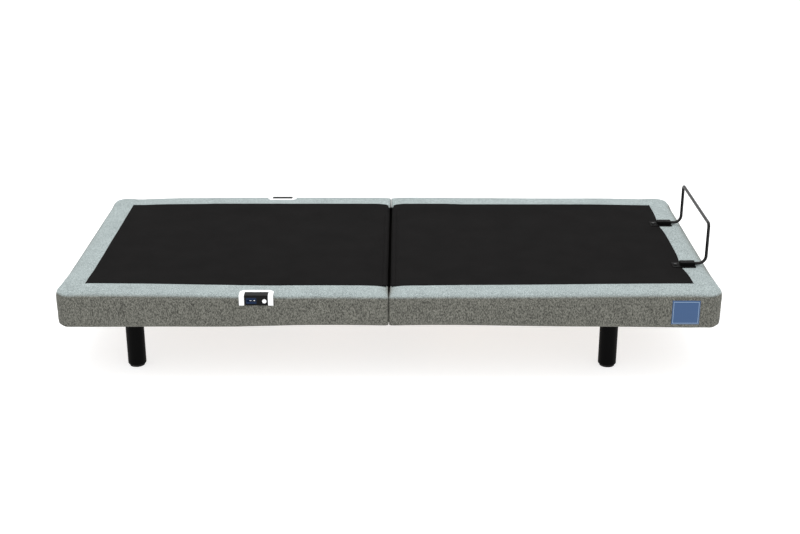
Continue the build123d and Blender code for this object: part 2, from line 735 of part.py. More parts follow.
def make_motor(half):
    """Linear motor of one half: gearbox with side motor, outer tube and push rod with its pin."""
    name = HALVES[half]
    y = CRANK_Y[half]
    outward = 1 if y > 0 else -1

    with BuildPart() as motor:
        with BuildSketch(motor_plane(half, y)):
            Circle(REAR_EYE_RADIUS)
            with Locations(((GEARBOX_X[0] + OVERCUT) / 2, 0)):
                Rectangle(GEARBOX_X[0] + OVERCUT, REAR_NECK)
            Circle(PIN_RADIUS + RUNNING_FIT, mode=Mode.SUBTRACT)
        extrude(amount=CLEVIS_GAP - REAR_EYE_GAP, both=True)
        with BuildSketch(rod_plane(half, GEARBOX_X[0])):
            with Locations((outward * MOTOR_SIDE_Y / 2, 0)):
                RectangleRounded(MOTOR_SIDE_Y + 2 * GEARBOX_HALF, 2 * GEARBOX_HALF, GEARBOX_CORNER)
        extrude(amount=GEARBOX_X[1] - GEARBOX_X[0])
        with BuildSketch(rod_plane(half, GEARBOX_X[1])):
            with Locations((outward * MOTOR_SIDE_Y, 0)):
                Circle(MOTOR_RADIUS)
        extrude(amount=MOTOR_LENGTH)
    save(motor, f"{name}_motor")

    with BuildPart() as motor_tube:
        with BuildSketch(rod_plane(half, GEARBOX_X[1])):
            Circle(MOTOR_TUBE_RADIUS)
            Circle(MOTOR_TUBE_RADIUS - MOTOR_TUBE_WALL, mode=Mode.SUBTRACT)
        extrude(amount=MOTOR_TUBE_END - TUBE_NOSE - GEARBOX_X[1])
        with BuildSketch(rod_plane(half, MOTOR_TUBE_END - TUBE_NOSE)):
            Circle(MOTOR_TUBE_RADIUS)
            Circle(ROD_RADIUS + RUNNING_FIT, mode=Mode.SUBTRACT)
        extrude(amount=TUBE_NOSE)
    save(motor_tube, f"{name}_motor_tube")

    with BuildPart() as push_rod:
        with BuildSketch(rod_plane(half, ROD_START)):
            Circle(ROD_RADIUS)
        extrude(amount=ROD_REACH - ROD_NECK - ROD_START)
        with BuildSketch(motor_plane(half, y)):
            with Locations((ROD_REACH - ROD_NECK / 2, 0)):
                Rectangle(ROD_NECK, ROD_NECK_HEIGHT)
            with Locations((ROD_REACH, 0)):
                Circle(ROD_EYE_RADIUS)
        extrude(amount=ROD_EYE_WIDTH / 2, both=True)
        with BuildSketch(motor_plane(half, y)):
            with Locations((ROD_REACH, 0)):
                Circle(PIN_RADIUS)
        extrude(amount=CRANK_PLATE_Y + PLATE / 2 + PIN_OVERHANG, both=True)
    save(push_rod, f"{name}_push_rod")


# ---------------------------------------------------------------- side consoles
SURROUND_CORNER = 11
SURROUND_EDGE_RADIUS = 6
HOUSING_EDGE_RADIUS = 3
WINDOW_SIZE = (32, 20)
WINDOW_SHIFT = -15
WINDOW_DEPTH = 10
WINDOW_SETBACK = 1
PORT_SIZE = (12.5, 5)
PORT_DEPTH = 8
PORT_SPACING = 15
TONGUE = (9, 1.6)
TONGUE_SETBACK = 3
BUTTON_SHIFT = 25
BUTTON_DEPTH = 6
BUTTON_PROUD = 2
BUTTON_EDGE_RADIUS = 1
BUTTON_SIDE_GAP = 0.1
BUTTON_BACK_GAP = 0.5
WINDOW_Z = DECK_HEIGHT - 15.5
BUTTON_Z = DECK_HEIGHT - 16


def make_console(side):
    """Console at one long side: white surround, black housing, port insert and push button."""
    name = SIDES[side]
    turn = -side
    half_width = CONSOLE_WIDTH / 2
    outer_half = half_width + SURROUND_SIDE
    face_y = SIDE_Y + CONSOLE_PROUD
    window_y = face_y - WINDOW_SETBACK
    inner_y = SIDE_Y - CONSOLE_DEPTH
    low_z = DECK_HEIGHT - CONSOLE_HEIGHT
    window_x = CONSOLE_X + turn * WINDOW_SHIFT
    button_x = CONSOLE_X + turn * BUTTON_SHIFT
    window_x_range = (window_x - WINDOW_SIZE[0] / 2, window_x + WINDOW_SIZE[0] / 2)
    window_z_range = (WINDOW_Z - WINDOW_SIZE[1] / 2, WINDOW_Z + WINDOW_SIZE[1] / 2)

    with BuildPart() as surround:
        with BuildSketch(Plane.XY.offset(low_z)):
            middle_y = side * (inner_y - SURROUND_BACK + SIDE_Y + SURROUND_THICKNESS) / 2
            with Locations((CONSOLE_X, middle_y)):
                Rectangle(2 * outer_half, SURROUND_BACK + CONSOLE_DEPTH + SURROUND_THICKNESS)
            back = vertices().sort_by(Axis.Y)
            chamfer(back[:2] if side > 0 else back[-2:], SURROUND_CORNER)
        extrude(amount=CONSOLE_HEIGHT + SURROUND_THICKNESS)
        outer_edge = (
            surround.edges()
            .filter_by(Axis.X)
            .group_by(Axis.Z)[-1]
            .sort_by(lambda edge: abs(edge.center().Y))[-1]
        )
        fillet(outer_edge, SURROUND_EDGE_RADIUS)
        box(
            (CONSOLE_X - outer_half, CONSOLE_X + outer_half),
            (0, side * SIDE_Y),
            (low_z - OVERCUT, DECK_HEIGHT),
            mode=Mode.SUBTRACT,
        )
        box(
            (CONSOLE_X - half_width, CONSOLE_X + half_width),
            (side * inner_y, side * (SIDE_Y + PAD)),
            (low_z - OVERCUT, DECK_HEIGHT + PAD),
            mode=Mode.SUBTRACT,
        )
    save(surround, f"console_surround_{name}")

    with BuildPart() as housing:
        box(
            (CONSOLE_X - half_width, CONSOLE_X + half_width),
            (side * inner_y, side * face_y),
            (low_z, DECK_HEIGHT + CONSOLE_PROUD),
        )
        top_edge = (
            housing.edges()
            .filter_by(Axis.X)
            .group_by(Axis.Z)[-1]
            .sort_by(lambda edge: abs(edge.center().Y))[-1]
        )
        fillet(top_edge, HOUSING_EDGE_RADIUS)
        box(window_x_range, (side * (face_y - WINDOW_DEPTH), side * face_y), window_z_range, Mode.SUBTRACT)
        bore_back_y = face_y - BUTTON_DEPTH - BUTTON_TRAVEL - BUTTON_BACK_GAP
        bore = (side * bore_back_y, side * (face_y + OVERCUT))
        rod_along_y(button_x, BUTTON_Z, BUTTON_RADIUS + BUTTON_SIDE_GAP, bore, Mode.SUBTRACT)
    save(housing, f"console_housing_{name}")

    with BuildPart() as ports:
        box(window_x_range, (side * (face_y - WINDOW_DEPTH), side * window_y), window_z_range)
        for shift in (-PORT_SPACING / 2, PORT_SPACING / 2):
            port_y = (side * (window_y - PORT_DEPTH), side * window_y)
            tongue_y = (side * (window_y - PORT_DEPTH), side * (face_y - TONGUE_SETBACK))
            box(
                (window_x + shift - PORT_SIZE[0] / 2, window_x + shift + PORT_SIZE[0] / 2),
                port_y,
                (WINDOW_Z - PORT_SIZE[1] / 2, WINDOW_Z + PORT_SIZE[1] / 2),
                mode=Mode.SUBTRACT,
            )
            box(
                (window_x + shift - TONGUE[0] / 2, window_x + shift + TONGUE[0] / 2),
                tongue_y,
                (WINDOW_Z, WINDOW_Z + TONGUE[1]),
            )
    save(ports, f"usb_ports_{name}")

    with BuildPart() as button:
        length = BUTTON_DEPTH + BUTTON_PROUD
        rod_along_y(
            button_x,
            BUTTON_Z,
            BUTTON_RADIUS,
            (side * (face_y - BUTTON_DEPTH), side * (face_y - BUTTON_DEPTH + length)),
        )
        front = button.edges().filter_by(GeomType.CIRCLE).sort_by(Axis.Y)
        fillet(front[0] if side < 0 else front[-1], BUTTON_EDGE_RADIUS)
    save(button, f"console_button_{name}")


# ---------------------------------------------------------------- retainer bar and label
BAR_LOW_BEND = 25
BAR_TOP_BEND = 12
SCREW_RADIUS = 6
SCREW_HEIGHT = 3
SCREW_X = BRACKET_X[0] + 10
BORE_FIT = 0.1
LABEL_X = (END_X - 159, END_X - 75)
LABEL_HEIGHT = SHELL_DEPTH - 32
LABEL_BOTTOM = SHELL_BOTTOM + 18
LABEL_CORNER = 3
LABEL_THICKNESS = 0.8


def make_bar():
    """Mattress retainer bar, its two sleeve brackets and their screws."""
    axis_z = DECK_HEIGHT + BAR_AXIS_RISE
    top_z = DECK_HEIGHT + BAR_HEIGHT
    near_y = BAR_CENTRE_Y - BAR_HALF_SPAN
    far_y = BAR_CENTRE_Y + BAR_HALF_SPAN
    with BuildPart() as bar:
        with BuildLine() as route:
            FilletPolyline(
                (BAR_INNER_X, near_y, axis_z),
                (BAR_X, near_y, axis_z),
                (BAR_X, near_y, top_z),
                (BAR_X, far_y, top_z),
                (BAR_X, far_y, axis_z),
                (BAR_INNER_X, far_y, axis_z),
                radius=[BAR_LOW_BEND, BAR_TOP_BEND, BAR_TOP_BEND, BAR_LOW_BEND],
            )
        with BuildSketch(Plane(origin=route.line @ 0, z_dir=route.line % 0)):
            Circle(BAR_RADIUS)
        sweep()
    save(bar, "retainer_bar")

    with BuildPart() as brackets:
        for y in (near_y, far_y):
            box(
                BRACKET_X,
                (y - BRACKET_WIDTH / 2, y + BRACKET_WIDTH / 2),
                (DECK_HEIGHT, DECK_HEIGHT + BRACKET_THICKNESS),
            )
            box(
                SLEEVE_X,
                (y - SLEEVE_WIDTH / 2, y + SLEEVE_WIDTH / 2),
                (DECK_HEIGHT, DECK_HEIGHT + SLEEVE_HEIGHT),
            )
        fillet(brackets.edges().filter_by(Axis.X).group_by(Axis.Z)[-1], SLEEVE_EDGE_RADIUS)
        bore_length = BRACKET_X[1] - BRACKET_X[0] + 2 * OVERCUT
        for y in (near_y, far_y):
            with Locations(Location(((BRACKET_X[0] + BRACKET_X[1]) / 2, y, axis_z), (0, 90, 0))):
                Cylinder(BAR_RADIUS + BORE_FIT, bore_length, mode=Mode.SUBTRACT)
    save(brackets, "bar_brackets")

    with BuildPart() as screws:
        with BuildSketch(Plane.XY.offset(DECK_HEIGHT + BRACKET_THICKNESS)):
            with Locations((SCREW_X, near_y), (SCREW_X, far_y)):
                RegularPolygon(SCREW_RADIUS, 6)
        extrude(amount=SCREW_HEIGHT)
    save(screws, "bracket_screws")


def make_label():
    """Blank woven label sewn to the near side of the foot half."""
    with BuildPart() as label:
        with BuildSketch(upright(-SIDE_Y)):
            with Locations(((LABEL_X[0] + LABEL_X[1]) / 2, LABEL_BOTTOM + LABEL_HEIGHT / 2)):
                RectangleRounded(LABEL_X[1] - LABEL_X[0], LABEL_HEIGHT, LABEL_CORNER)
        extrude(amount=LABEL_THICKNESS)
    save(label, "side_label")


def main():
    os.makedirs("parts", exist_ok=True)
    for half in HALVES:
        make_upholstery(half)
        make_apron(half)
        make_longerons(half)
        make_crossbars(half)
        make_tracks(half)
        make_motor_member(half)
        make_lift(half)
        make_motor(half)
    make_bar()
    make_label()
    make_rails()
    make_crossmembers()
    make_seam_guard()
    make_hinge_bolts()
    make_bearings()
    make_bumpers()
    make_legs()
    make_control_box()
    for side in SIDES:
        make_centre_plate(side)
        make_console(side)


main()
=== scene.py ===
"""Adjustable bed base: two upholstered halves that hinge at mid-length over a steel chassis."""

import json
import math

import bmesh
import bpy
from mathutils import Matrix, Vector, noise
from mathutils.bvhtree import BVHTree


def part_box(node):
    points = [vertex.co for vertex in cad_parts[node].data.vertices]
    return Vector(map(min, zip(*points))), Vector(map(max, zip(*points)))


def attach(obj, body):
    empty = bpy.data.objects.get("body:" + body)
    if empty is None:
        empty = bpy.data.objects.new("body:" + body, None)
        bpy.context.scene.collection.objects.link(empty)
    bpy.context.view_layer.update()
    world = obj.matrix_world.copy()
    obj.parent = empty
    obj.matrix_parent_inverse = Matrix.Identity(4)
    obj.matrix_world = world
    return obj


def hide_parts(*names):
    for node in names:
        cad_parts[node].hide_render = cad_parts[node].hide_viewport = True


bl_info = {
    "name": "Adjustable bed base",
    "version": (1, 0, 0),
    "blender": (4, 5, 0),
    "location": "View3D > Sidebar > Bed base",
    "description": "Upholstery, fittings and studio for an adjustable bed base",
    "category": "Object",
}

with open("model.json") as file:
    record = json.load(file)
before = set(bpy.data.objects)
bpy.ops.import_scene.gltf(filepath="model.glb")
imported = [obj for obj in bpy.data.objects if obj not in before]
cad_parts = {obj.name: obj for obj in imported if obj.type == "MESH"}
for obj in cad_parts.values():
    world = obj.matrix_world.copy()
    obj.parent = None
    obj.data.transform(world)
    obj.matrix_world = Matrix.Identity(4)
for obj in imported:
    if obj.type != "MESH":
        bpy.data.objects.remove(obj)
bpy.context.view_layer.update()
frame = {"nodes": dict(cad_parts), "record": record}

# All lengths are in metres. Places are measured from the floor under the middle of the seam.
MM = 0.001
HALVES = {"head": -1, "foot": 1}  # which way each half lies along x
SIDES = {"near": -1, "far": 1}  # which way each side lies along y
WHITE = (1.0, 1.0, 1.0)

# numbers of the sockets of a colour mix node, which has several sockets of the same name
FACTOR, COLOUR_A, COLOUR_B, MIXED = 0, 6, 7, 2

# meshing
IN_PLANE = 0.001 * MM  # points this close to a plane lie in it
LEVEL = 0.1 * MM  # points this close in height are level
WELD = 0.01 * MM  # corners closer than this are one
FLAT_ANGLE = math.radians(1)  # faces that meet at less than this are one flat face
SHARP_ANGLE = math.radians(40)  # edges sharper than this are softened
EDGE_ANGLE = math.radians(35)  # and on the padded block, edges sharper than this
FACING = 0.6  # part of a face's normal along an axis above which it faces that way

# below this height band on the border's round the heather is painted darker, as shade from the light above,
# and the band climbs with the puff on the near side
SHADE_LINE = (0.2675, 0.2785)
SHADE_LINE_CLIMB = 5 * MM
NEAR_EDGE = (-0.47, -0.4)

# the puff and the dips of the padded border, and the ranges over which each of them comes in
PUFF_ABOVE = 0.24
END_RISE = 5 * MM
END_RISE_ALONG = (0.25, 0.95)
END_RISE_ACROSS = (0.25, 0.4)
FAR_CROWN = 4 * MM
FAR_CROWN_ALONG = (0.7, 0.98)
FAR_CROWN_ACROSS = (0.2, 0.42)
SEAM_DIP = 7 * MM
SEAM_DIP_WIDTH = 60 * MM
SEAM_DIP_FADE = 0.7
SEAM_DIP_FADE_ACROSS = (0.4, 0.475)
HEM_LIFT = 7 * MM
HEM_LIFT_ALONG = {"head": (0.27, 0.62), "foot": (0.06, 0.62)}
HEM_SAG = 2 * MM
HEM_SAG_ALONG = (0.6, 0.95)

# the sides of the cover bulge to close the seam, most of all at its corners
SEAM_BULGE = 3.4 * MM
SEAM_BULGE_ALONG = (4 * MM, 35 * MM)
SEAM_TUCK = 2.5 * MM
SEAM_TUCK_ACROSS = (0.46, 0.478)
SEAM_TUCK_HEIGHT = (0.178, 0.192)
SEAM_CLEARANCE = 0.6 * MM

# where the cover is open
UNDERSIDE = 0.2  # what faces down below this height is the underside
SEAM_WALL = 0.02  # what faces the other half nearer than this is the wall at the seam
SEAM_WALL_TOP = 0.258
SEAM_GAP = 0.04  # between the sides the border stops this far from the seam
SEAM_GAP_FLOOR = 0.25
DECK_OPENING = 0.2735  # the deck shows above this height
NOTCH = (0.378, 0.418)  # the hinge ears pass here, on both sides of the middle
DECK_TUCK = 14 * MM  # how far the cover reaches in under the deck cloth
HEM_RIM = 0.19  # the free edge of the hem is lower than this
HEM_RIM_START = 12 * MM
HEM_RETURN = 26 * MM

# where the cover is held while it swells
SEWN_ABOVE = 0.26
SEWN_AT_SEAM = 16 * MM
STAPLE_INSET = 20 * MM
STAPLED_BELOW = 0.23
PRESS_REACH = 12 * MM
BRACKET_HALF = 22 * MM
PRESSURE = 4.0
SWELL_FRAMES = 20

# deck cloth and deck board
DECK_CLOTH = 1.5 * MM
DECK_ROUND = 14 * MM
DECK_STITCH = (4 * MM, 8 * MM)
DECK_SAG = 0.9 * MM
DECK_SAG_REACH = 0.06
STITCH_DEPTH = 0.7 * MM
EDGE_WAVE = 1.2 * MM
SIDE_WAVE = 0.8 * MM
BRACKET_PULL = 7 * MM
BRACKET_PULL_WIDTH = 0.06
FOOT_EDGE_OUT = 2.5 * MM
BOARD_TOP = 0.262
BOARD_CUTS = 8
BOARD_DROP = 0.5 * MM

# label and console ports
LABEL_LINE = 4 * MM
LABEL_LINE_HALF = 0.6 * MM
LABEL_GAP = 0.5 * MM
LABEL_CLOTH = 0.9 * MM
TONGUES = ((-1 * MM, 3 * MM), (9.5 * MM, 2 * MM))  # place along the port, and half width
TONGUE_DEPTH = (0.4 * MM, 7 * MM)
TONGUE_HEIGHT = (-0.2 * MM, 2 * MM)


# ---------------------------------------------------------------- sizes and colours
def linear(hex_colour):
    """An sRGB hex colour as linear red, green and blue."""
    levels = [int(hex_colour[place : place + 2], 16) / 255 for place in (0, 2, 4)]
    return [level / 12.92 if level <= 0.04045 else ((level + 0.055) / 1.055) ** 2.4 for level in levels]


class UpholsterySettings(bpy.types.PropertyGroup):
    """Sizes and colours of the padded cover."""

    voxel: bpy.props.FloatProperty(
        name="Cell size", description="Size of the cover's mesh cells", default=7 * MM, unit="LENGTH"
    )
    fabric: bpy.props.FloatProperty(
        name="Fabric", description="Thickness of the cover fabric", default=2.2 * MM, unit="LENGTH"
    )
    corner: bpy.props.FloatProperty(
        name="Corner radius", description="Radius of the plan corners", default=50 * MM, unit="LENGTH"
    )
    edge: bpy.props.FloatProperty(
        name="Edge radius", description="Radius of the padded edges", default=11 * MM, unit="LENGTH"
    )
    seam_edge: bpy.props.FloatProperty(
        name="Seam edge radius", description="Radius of the edges at the seam", default=3 * MM, unit="LENGTH"
    )
    swell: bpy.props.FloatProperty(
        name="Swell", description="Furthest that the padding swells", default=3.5 * MM, unit="LENGTH"
    )
    hem: bpy.props.FloatProperty(
        name="Hem", description="Width of the hem under the skirt", default=29 * MM, unit="LENGTH"
    )
    # the border colour is the heather as lit from above, and the skirt colour is the same heather painted
    # darker as shade
    lit_top_colour: bpy.props.FloatVectorProperty(
        name="Border colour", description="Heather of the border's top", subtype="COLOR",
        default=linear("A9B4B4"),
    )
    shaded_side_colour: bpy.props.FloatVectorProperty(
        name="Skirt colour", description="Heather of the skirt", subtype="COLOR", default=linear("6A6A63")
    )
    deck_colour: bpy.props.FloatVectorProperty(
        name="Deck colour", description="Black non-slip deck cloth", subtype="COLOR", default=linear("151414")
    )


class FittingSettings(bpy.types.PropertyGroup):
    """Sizes and colours of the hard fittings."""

    edge: bpy.props.FloatProperty(
        name="Edge radius", description="Small radius on moulded and pressed edges", default=0.8 * MM,
        unit="LENGTH",
    )
    white: bpy.props.FloatVectorProperty(
        name="Console white", description="White moulding", subtype="COLOR", default=linear("F4F5F6")
    )
    black: bpy.props.FloatVectorProperty(
        name="Fitting black", description="Black mouldings and paint", subtype="COLOR",
        default=linear("030303"),
    )
    window: bpy.props.FloatVectorProperty(
        name="Port window", description="Tinted plastic of the port window", subtype="COLOR",
        default=linear("0C2240"),
    )
    label: bpy.props.FloatVectorProperty(
        name="Label", description="Plain woven label", subtype="COLOR", default=linear("274C78")
    )


# ---------------------------------------------------------------- materials
def add_node(tree, kind, inputs=None, stops=(), **settings):
    """Add a shader node, set it up and link or set its inputs; stops are those of a colour ramp."""
    made = tree.nodes.new(kind)
    for name, value in settings.items():
        setattr(made, name, value)
    for socket, value in (inputs or {}).items():
        if isinstance(value, bpy.types.NodeSocket):
            tree.links.new(value, made.inputs[socket])
        else:
            made.inputs[socket].default_value = value
    for element, (position, colour) in zip(made.color_ramp.elements if stops else (), stops):
        element.position = position
        element.color = (*colour, 1)
    return made


def start_material(name, colour, roughness, **sockets):
    """A named material with a shader, its constants set, and the piece's own coordinates."""
    material = bpy.data.materials.new(name)
    material.use_nodes = True
    tree = material.node_tree
    tree.nodes.clear()
    shader = add_node(tree, "ShaderNodeBsdfPrincipled")
    shader.inputs["Base Color"].default_value = (*colour, 1)
    shader.inputs["Roughness"].default_value = roughness
    for socket, value in sockets.items():
        shader.inputs[socket.replace("_", " ")].default_value = value
    add_node(tree, "ShaderNodeOutputMaterial", {"Surface": shader.outputs["BSDF"]})
    place = add_node(tree, "ShaderNodeTexCoord").outputs["Object"]
    return material, tree, shader, place


def shade(colour, factor):
    """A darker or lighter copy of a colour."""
    return [min(1.0, level * factor) for level in colour]


def heather_weave(top, side):
    """Woven heather polyester: light and dark fibres spun together, so it looks speckled, and dull; its sides
    are painted darker than its top as shade.
    """
    material, tree, shader, place = start_material(
        "heather_woven_polyester", top, 0.92, Specular_IOR_Level=0.25
    )
    # the yarns are 1 mm thick, drawn coarser so that they show, and longer across the cloth than up it
    flat = add_node(tree, "ShaderNodeMapping", {"Vector": place, "Scale": (1, 1, 0.5)})
    fibres = add_node(
        tree,
        "ShaderNodeTexNoise",
        {"Vector": flat.outputs["Vector"], "Scale": 1 / (3.3 * MM), "Detail": 4, "Roughness": 0.8},
    )
    light = add_node(
        tree,
        "ShaderNodeValToRGB",
        {"Fac": fibres.outputs["Fac"]},
        stops=((0.4, shade(top, 0.58)), (0.6, shade(top, 1.3))),
    )
    # the heather of the sides, painted darker as shade
    dark = add_node(
        tree,
        "ShaderNodeValToRGB",
        {"Fac": fibres.outputs["Fac"]},
        stops=((0.4, shade(side, 0.36)), (0.6, shade(side, 1.68))),
    )
    # painted shade: the heather is pale on top and darker down the sides, changing on the border's round, for
    # the light that falls from above
    parts = add_node(tree, "ShaderNodeSeparateXYZ", {"Vector": place})
    along = add_node(tree, "ShaderNodeMath", {0: parts.outputs["X"]}, operation="ABSOLUTE")
    climb = add_node(
        tree,
        "ShaderNodeMapRange",
        {
            "Value": along.outputs[0],
            "From Min": END_RISE_ALONG[0],
            "From Max": END_RISE_ALONG[1],
            "To Max": SHADE_LINE_CLIMB,
        },
        interpolation_type="SMOOTHSTEP",
    )
    near = add_node(
        tree,
        "ShaderNodeMapRange",
        {
            "Value": parts.outputs["Y"],
            "From Min": NEAR_EDGE[0],
            "From Max": NEAR_EDGE[1],
            "To Min": 1.0,
            "To Max": 0.0,
        },
        interpolation_type="SMOOTHSTEP",
    )
    puff = add_node(
        tree,
        "ShaderNodeMath",
        {0: climb.outputs["Result"], 1: near.outputs["Result"]},
        operation="MULTIPLY",
    )
    height = add_node(
        tree, "ShaderNodeMath", {0: parts.outputs["Z"], 1: puff.outputs[0]}, operation="SUBTRACT"
    )
    shade_line = add_node(
        tree,
        "ShaderNodeMapRange",
        {"Value": height.outputs[0], "From Min": SHADE_LINE[0], "From Max": SHADE_LINE[1]},
        interpolation_type="SMOOTHSTEP",
    )
    cloth = add_node(
        tree,
        "ShaderNodeMix",
        {FACTOR: shade_line.outputs["Result"], COLOUR_A: dark.outputs["Color"], COLOUR_B: light.outputs["Color"]},
        data_type="RGBA",
    )
    slubs = add_node(tree, "ShaderNodeTexNoise", {"Vector": place, "Scale": 1 / (2.2 * MM), "Roughness": 0.6})
    dashes = add_node(
        tree,
        "ShaderNodeValToRGB",
        {"Fac": slubs.outputs["Fac"]},
        stops=((0.35, shade(WHITE, 0.55)), (0.68, WHITE)),
    )
    flecked = add_node(
        tree,
        "ShaderNodeMix",
        {FACTOR: 0.5, COLOUR_A: cloth.outputs[MIXED], COLOUR_B: dashes.outputs["Color"]},
        data_type="RGBA",
        blend_type="MULTIPLY",
    )
    dye = add_node(tree, "ShaderNodeTexNoise", {"Vector": place, "Scale": 1 / (60 * MM)})
    patches = add_node(
        tree,
        "ShaderNodeValToRGB",
        {"Fac": dye.outputs["Fac"]},
        stops=((0.3, shade(WHITE, 0.7)), (0.7, WHITE)),
    )
    clouded = add_node(
        tree,
        "ShaderNodeMix",
        {FACTOR: 0.35, COLOUR_A: flecked.outputs[MIXED], COLOUR_B: patches.outputs["Color"]},
        data_type="RGBA",
        blend_type="MULTIPLY",
    )
    tree.links.new(clouded.outputs[MIXED], shader.inputs["Base Color"])
    threads = add_node(
        tree,
        "ShaderNodeTexNoise",
        {"Vector": place, "Scale": 1 / (2.4 * MM), "Detail": 3, "Roughness": 0.6},
    )
    relief = add_node(
        tree,
        "ShaderNodeBump",
        {"Height": threads.outputs["Fac"], "Distance": 0.6 * MM, "Strength": 0.8},
    )
    tree.links.new(relief.outputs["Normal"], shader.inputs["Normal"])
    return material


def deck_felt(colour):
    """Needle-punched polypropylene felt: black, matt and slightly mottled."""
    material, tree, shader, place = start_material(
        "needled_polypropylene_felt", colour, 0.95, Specular_IOR_Level=0.06
    )
    clouds = add_node(
        tree,
        "ShaderNodeTexNoise",
        {"Vector": place, "Scale": 1 / (90 * MM), "Detail": 3, "Roughness": 0.6},
    )
    mottled = add_node(
        tree,
        "ShaderNodeValToRGB",
        {"Fac": clouds.outputs["Fac"]},
        stops=((0.3, shade(colour, 0.85)), (0.7, shade(colour, 1.15))),
    )
    # fibre tufts are under 1 mm, drawn at 3 mm so that they show
    fibres = add_node(
        tree,
        "ShaderNodeTexNoise",
        {"Vector": place, "Scale": 1 / (3 * MM), "Detail": 3, "Roughness": 0.7},
    )
    lint = add_node(
        tree,
        "ShaderNodeValToRGB",
        {"Fac": fibres.outputs["Fac"]},
        stops=((0.3, shade(WHITE, 0.75)), (0.75, WHITE)),
    )
    felt = add_node(
        tree,
        "ShaderNodeMix",
        {FACTOR: 1.0, COLOUR_A: mottled.outputs["Color"], COLOUR_B: lint.outputs["Color"]},
        data_type="RGBA",
        blend_type="MULTIPLY",
    )
    tree.links.new(felt.outputs[MIXED], shader.inputs["Base Color"])
    relief = add_node(
        tree,
        "ShaderNodeBump",
        {"Height": fibres.outputs["Fac"], "Distance": 0.4 * MM, "Strength": 0.7},
    )
    tree.links.new(relief.outputs["Normal"], shader.inputs["Normal"])
    return material


def powder_coat(name, colour, smooth, rough, specular):
    """Powder-coated steel: black with a fine orange-peel surface, duller where it is handled."""
    material, tree, shader, place = start_material(name, colour, rough, Specular_IOR_Level=specular)
    peel = add_node(tree, "ShaderNodeTexNoise", {"Vector": place, "Scale": 1 / (1.5 * MM)})
    relief = add_node(
        tree,
        "ShaderNodeBump",
        {"Height": peel.outputs["Fac"], "Distance": 0.05 * MM, "Strength": 0.5},
    )
    tree.links.new(relief.outputs["Normal"], shader.inputs["Normal"])
    handling = add_node(
        tree,
        "ShaderNodeTexNoise",
        {"Vector": place, "Scale": 1 / (30 * MM), "Detail": 4, "Roughness": 0.6},
    )
    gloss = add_node(
        tree,
        "ShaderNodeMapRange",
        {"Value": handling.outputs["Fac"], "To Min": smooth, "To Max": rough},
    )
    tree.links.new(gloss.outputs["Result"], shader.inputs["Roughness"])
    return material


def seam_shade_paint(colour):
    """Matt black stoving paint with no gloss at all, on the strip under the seam: a dark sheet that stands in
    for the shade in the seam's gap.
    """
    material, tree, shader, place = start_material("painted_seam_shade", colour, 0.9, Specular_IOR_Level=0.02)
    dust = add_node(
        tree,
        "ShaderNodeTexNoise",
        {"Vector": place, "Scale": 1 / (12 * MM), "Detail": 3, "Roughness": 0.6},
    )
    dulled = add_node(
        tree,
        "ShaderNodeValToRGB",
        {"Fac": dust.outputs["Fac"]},
        stops=((0.3, colour), (0.8, shade(colour, 1.6))),
    )
    tree.links.new(dulled.outputs["Color"], shader.inputs["Base Color"])
    return material


def zinc_plate():
    """Zinc-plated steel: pale metal with a faint spangle in its gloss."""
    material, tree, shader, place = start_material("zinc_plated_steel", linear("B4B5B6"), 0.36, Metallic=1.0)
    spangle = add_node(
        tree,
        "ShaderNodeTexNoise",
        {"Vector": place, "Scale": 1 / (8 * MM), "Detail": 3, "Roughness": 0.7},
    )
    rough = add_node(
        tree,
        "ShaderNodeMapRange",
        {"Value": spangle.outputs["Fac"], "To Min": 0.26, "To Max": 0.48},
    )
    tree.links.new(rough.outputs["Result"], shader.inputs["Roughness"])
    return material


def drawn_aluminium():
    """Drawn and anodised aluminium tube: soft grey metal with fine lines along its length."""
    material, tree, shader, place = start_material("anodised_aluminium", linear("A9ACAF"), 0.34, Metallic=1.0)
    along = add_node(tree, "ShaderNodeMapping", {"Vector": place, "Scale": (0.04, 1, 1)})
    # draw lines are 0.1 mm apart, drawn at 1 mm so that they show
    lines = add_node(
        tree,
        "ShaderNodeTexNoise",
        {"Vector": along.outputs["Vector"], "Scale": 1 / (1 * MM), "Roughness": 0.6},
    )
    rough = add_node(
        tree,
        "ShaderNodeMapRange",
        {"Value": lines.outputs["Fac"], "To Min": 0.28, "To Max": 0.44},
    )
    tree.links.new(rough.outputs["Result"], shader.inputs["Roughness"])
    relief = add_node(
        tree,
        "ShaderNodeBump",
        {"Height": lines.outputs["Fac"], "Distance": 0.03 * MM, "Strength": 0.6},
    )
    tree.links.new(relief.outputs["Normal"], shader.inputs["Normal"])
    return material


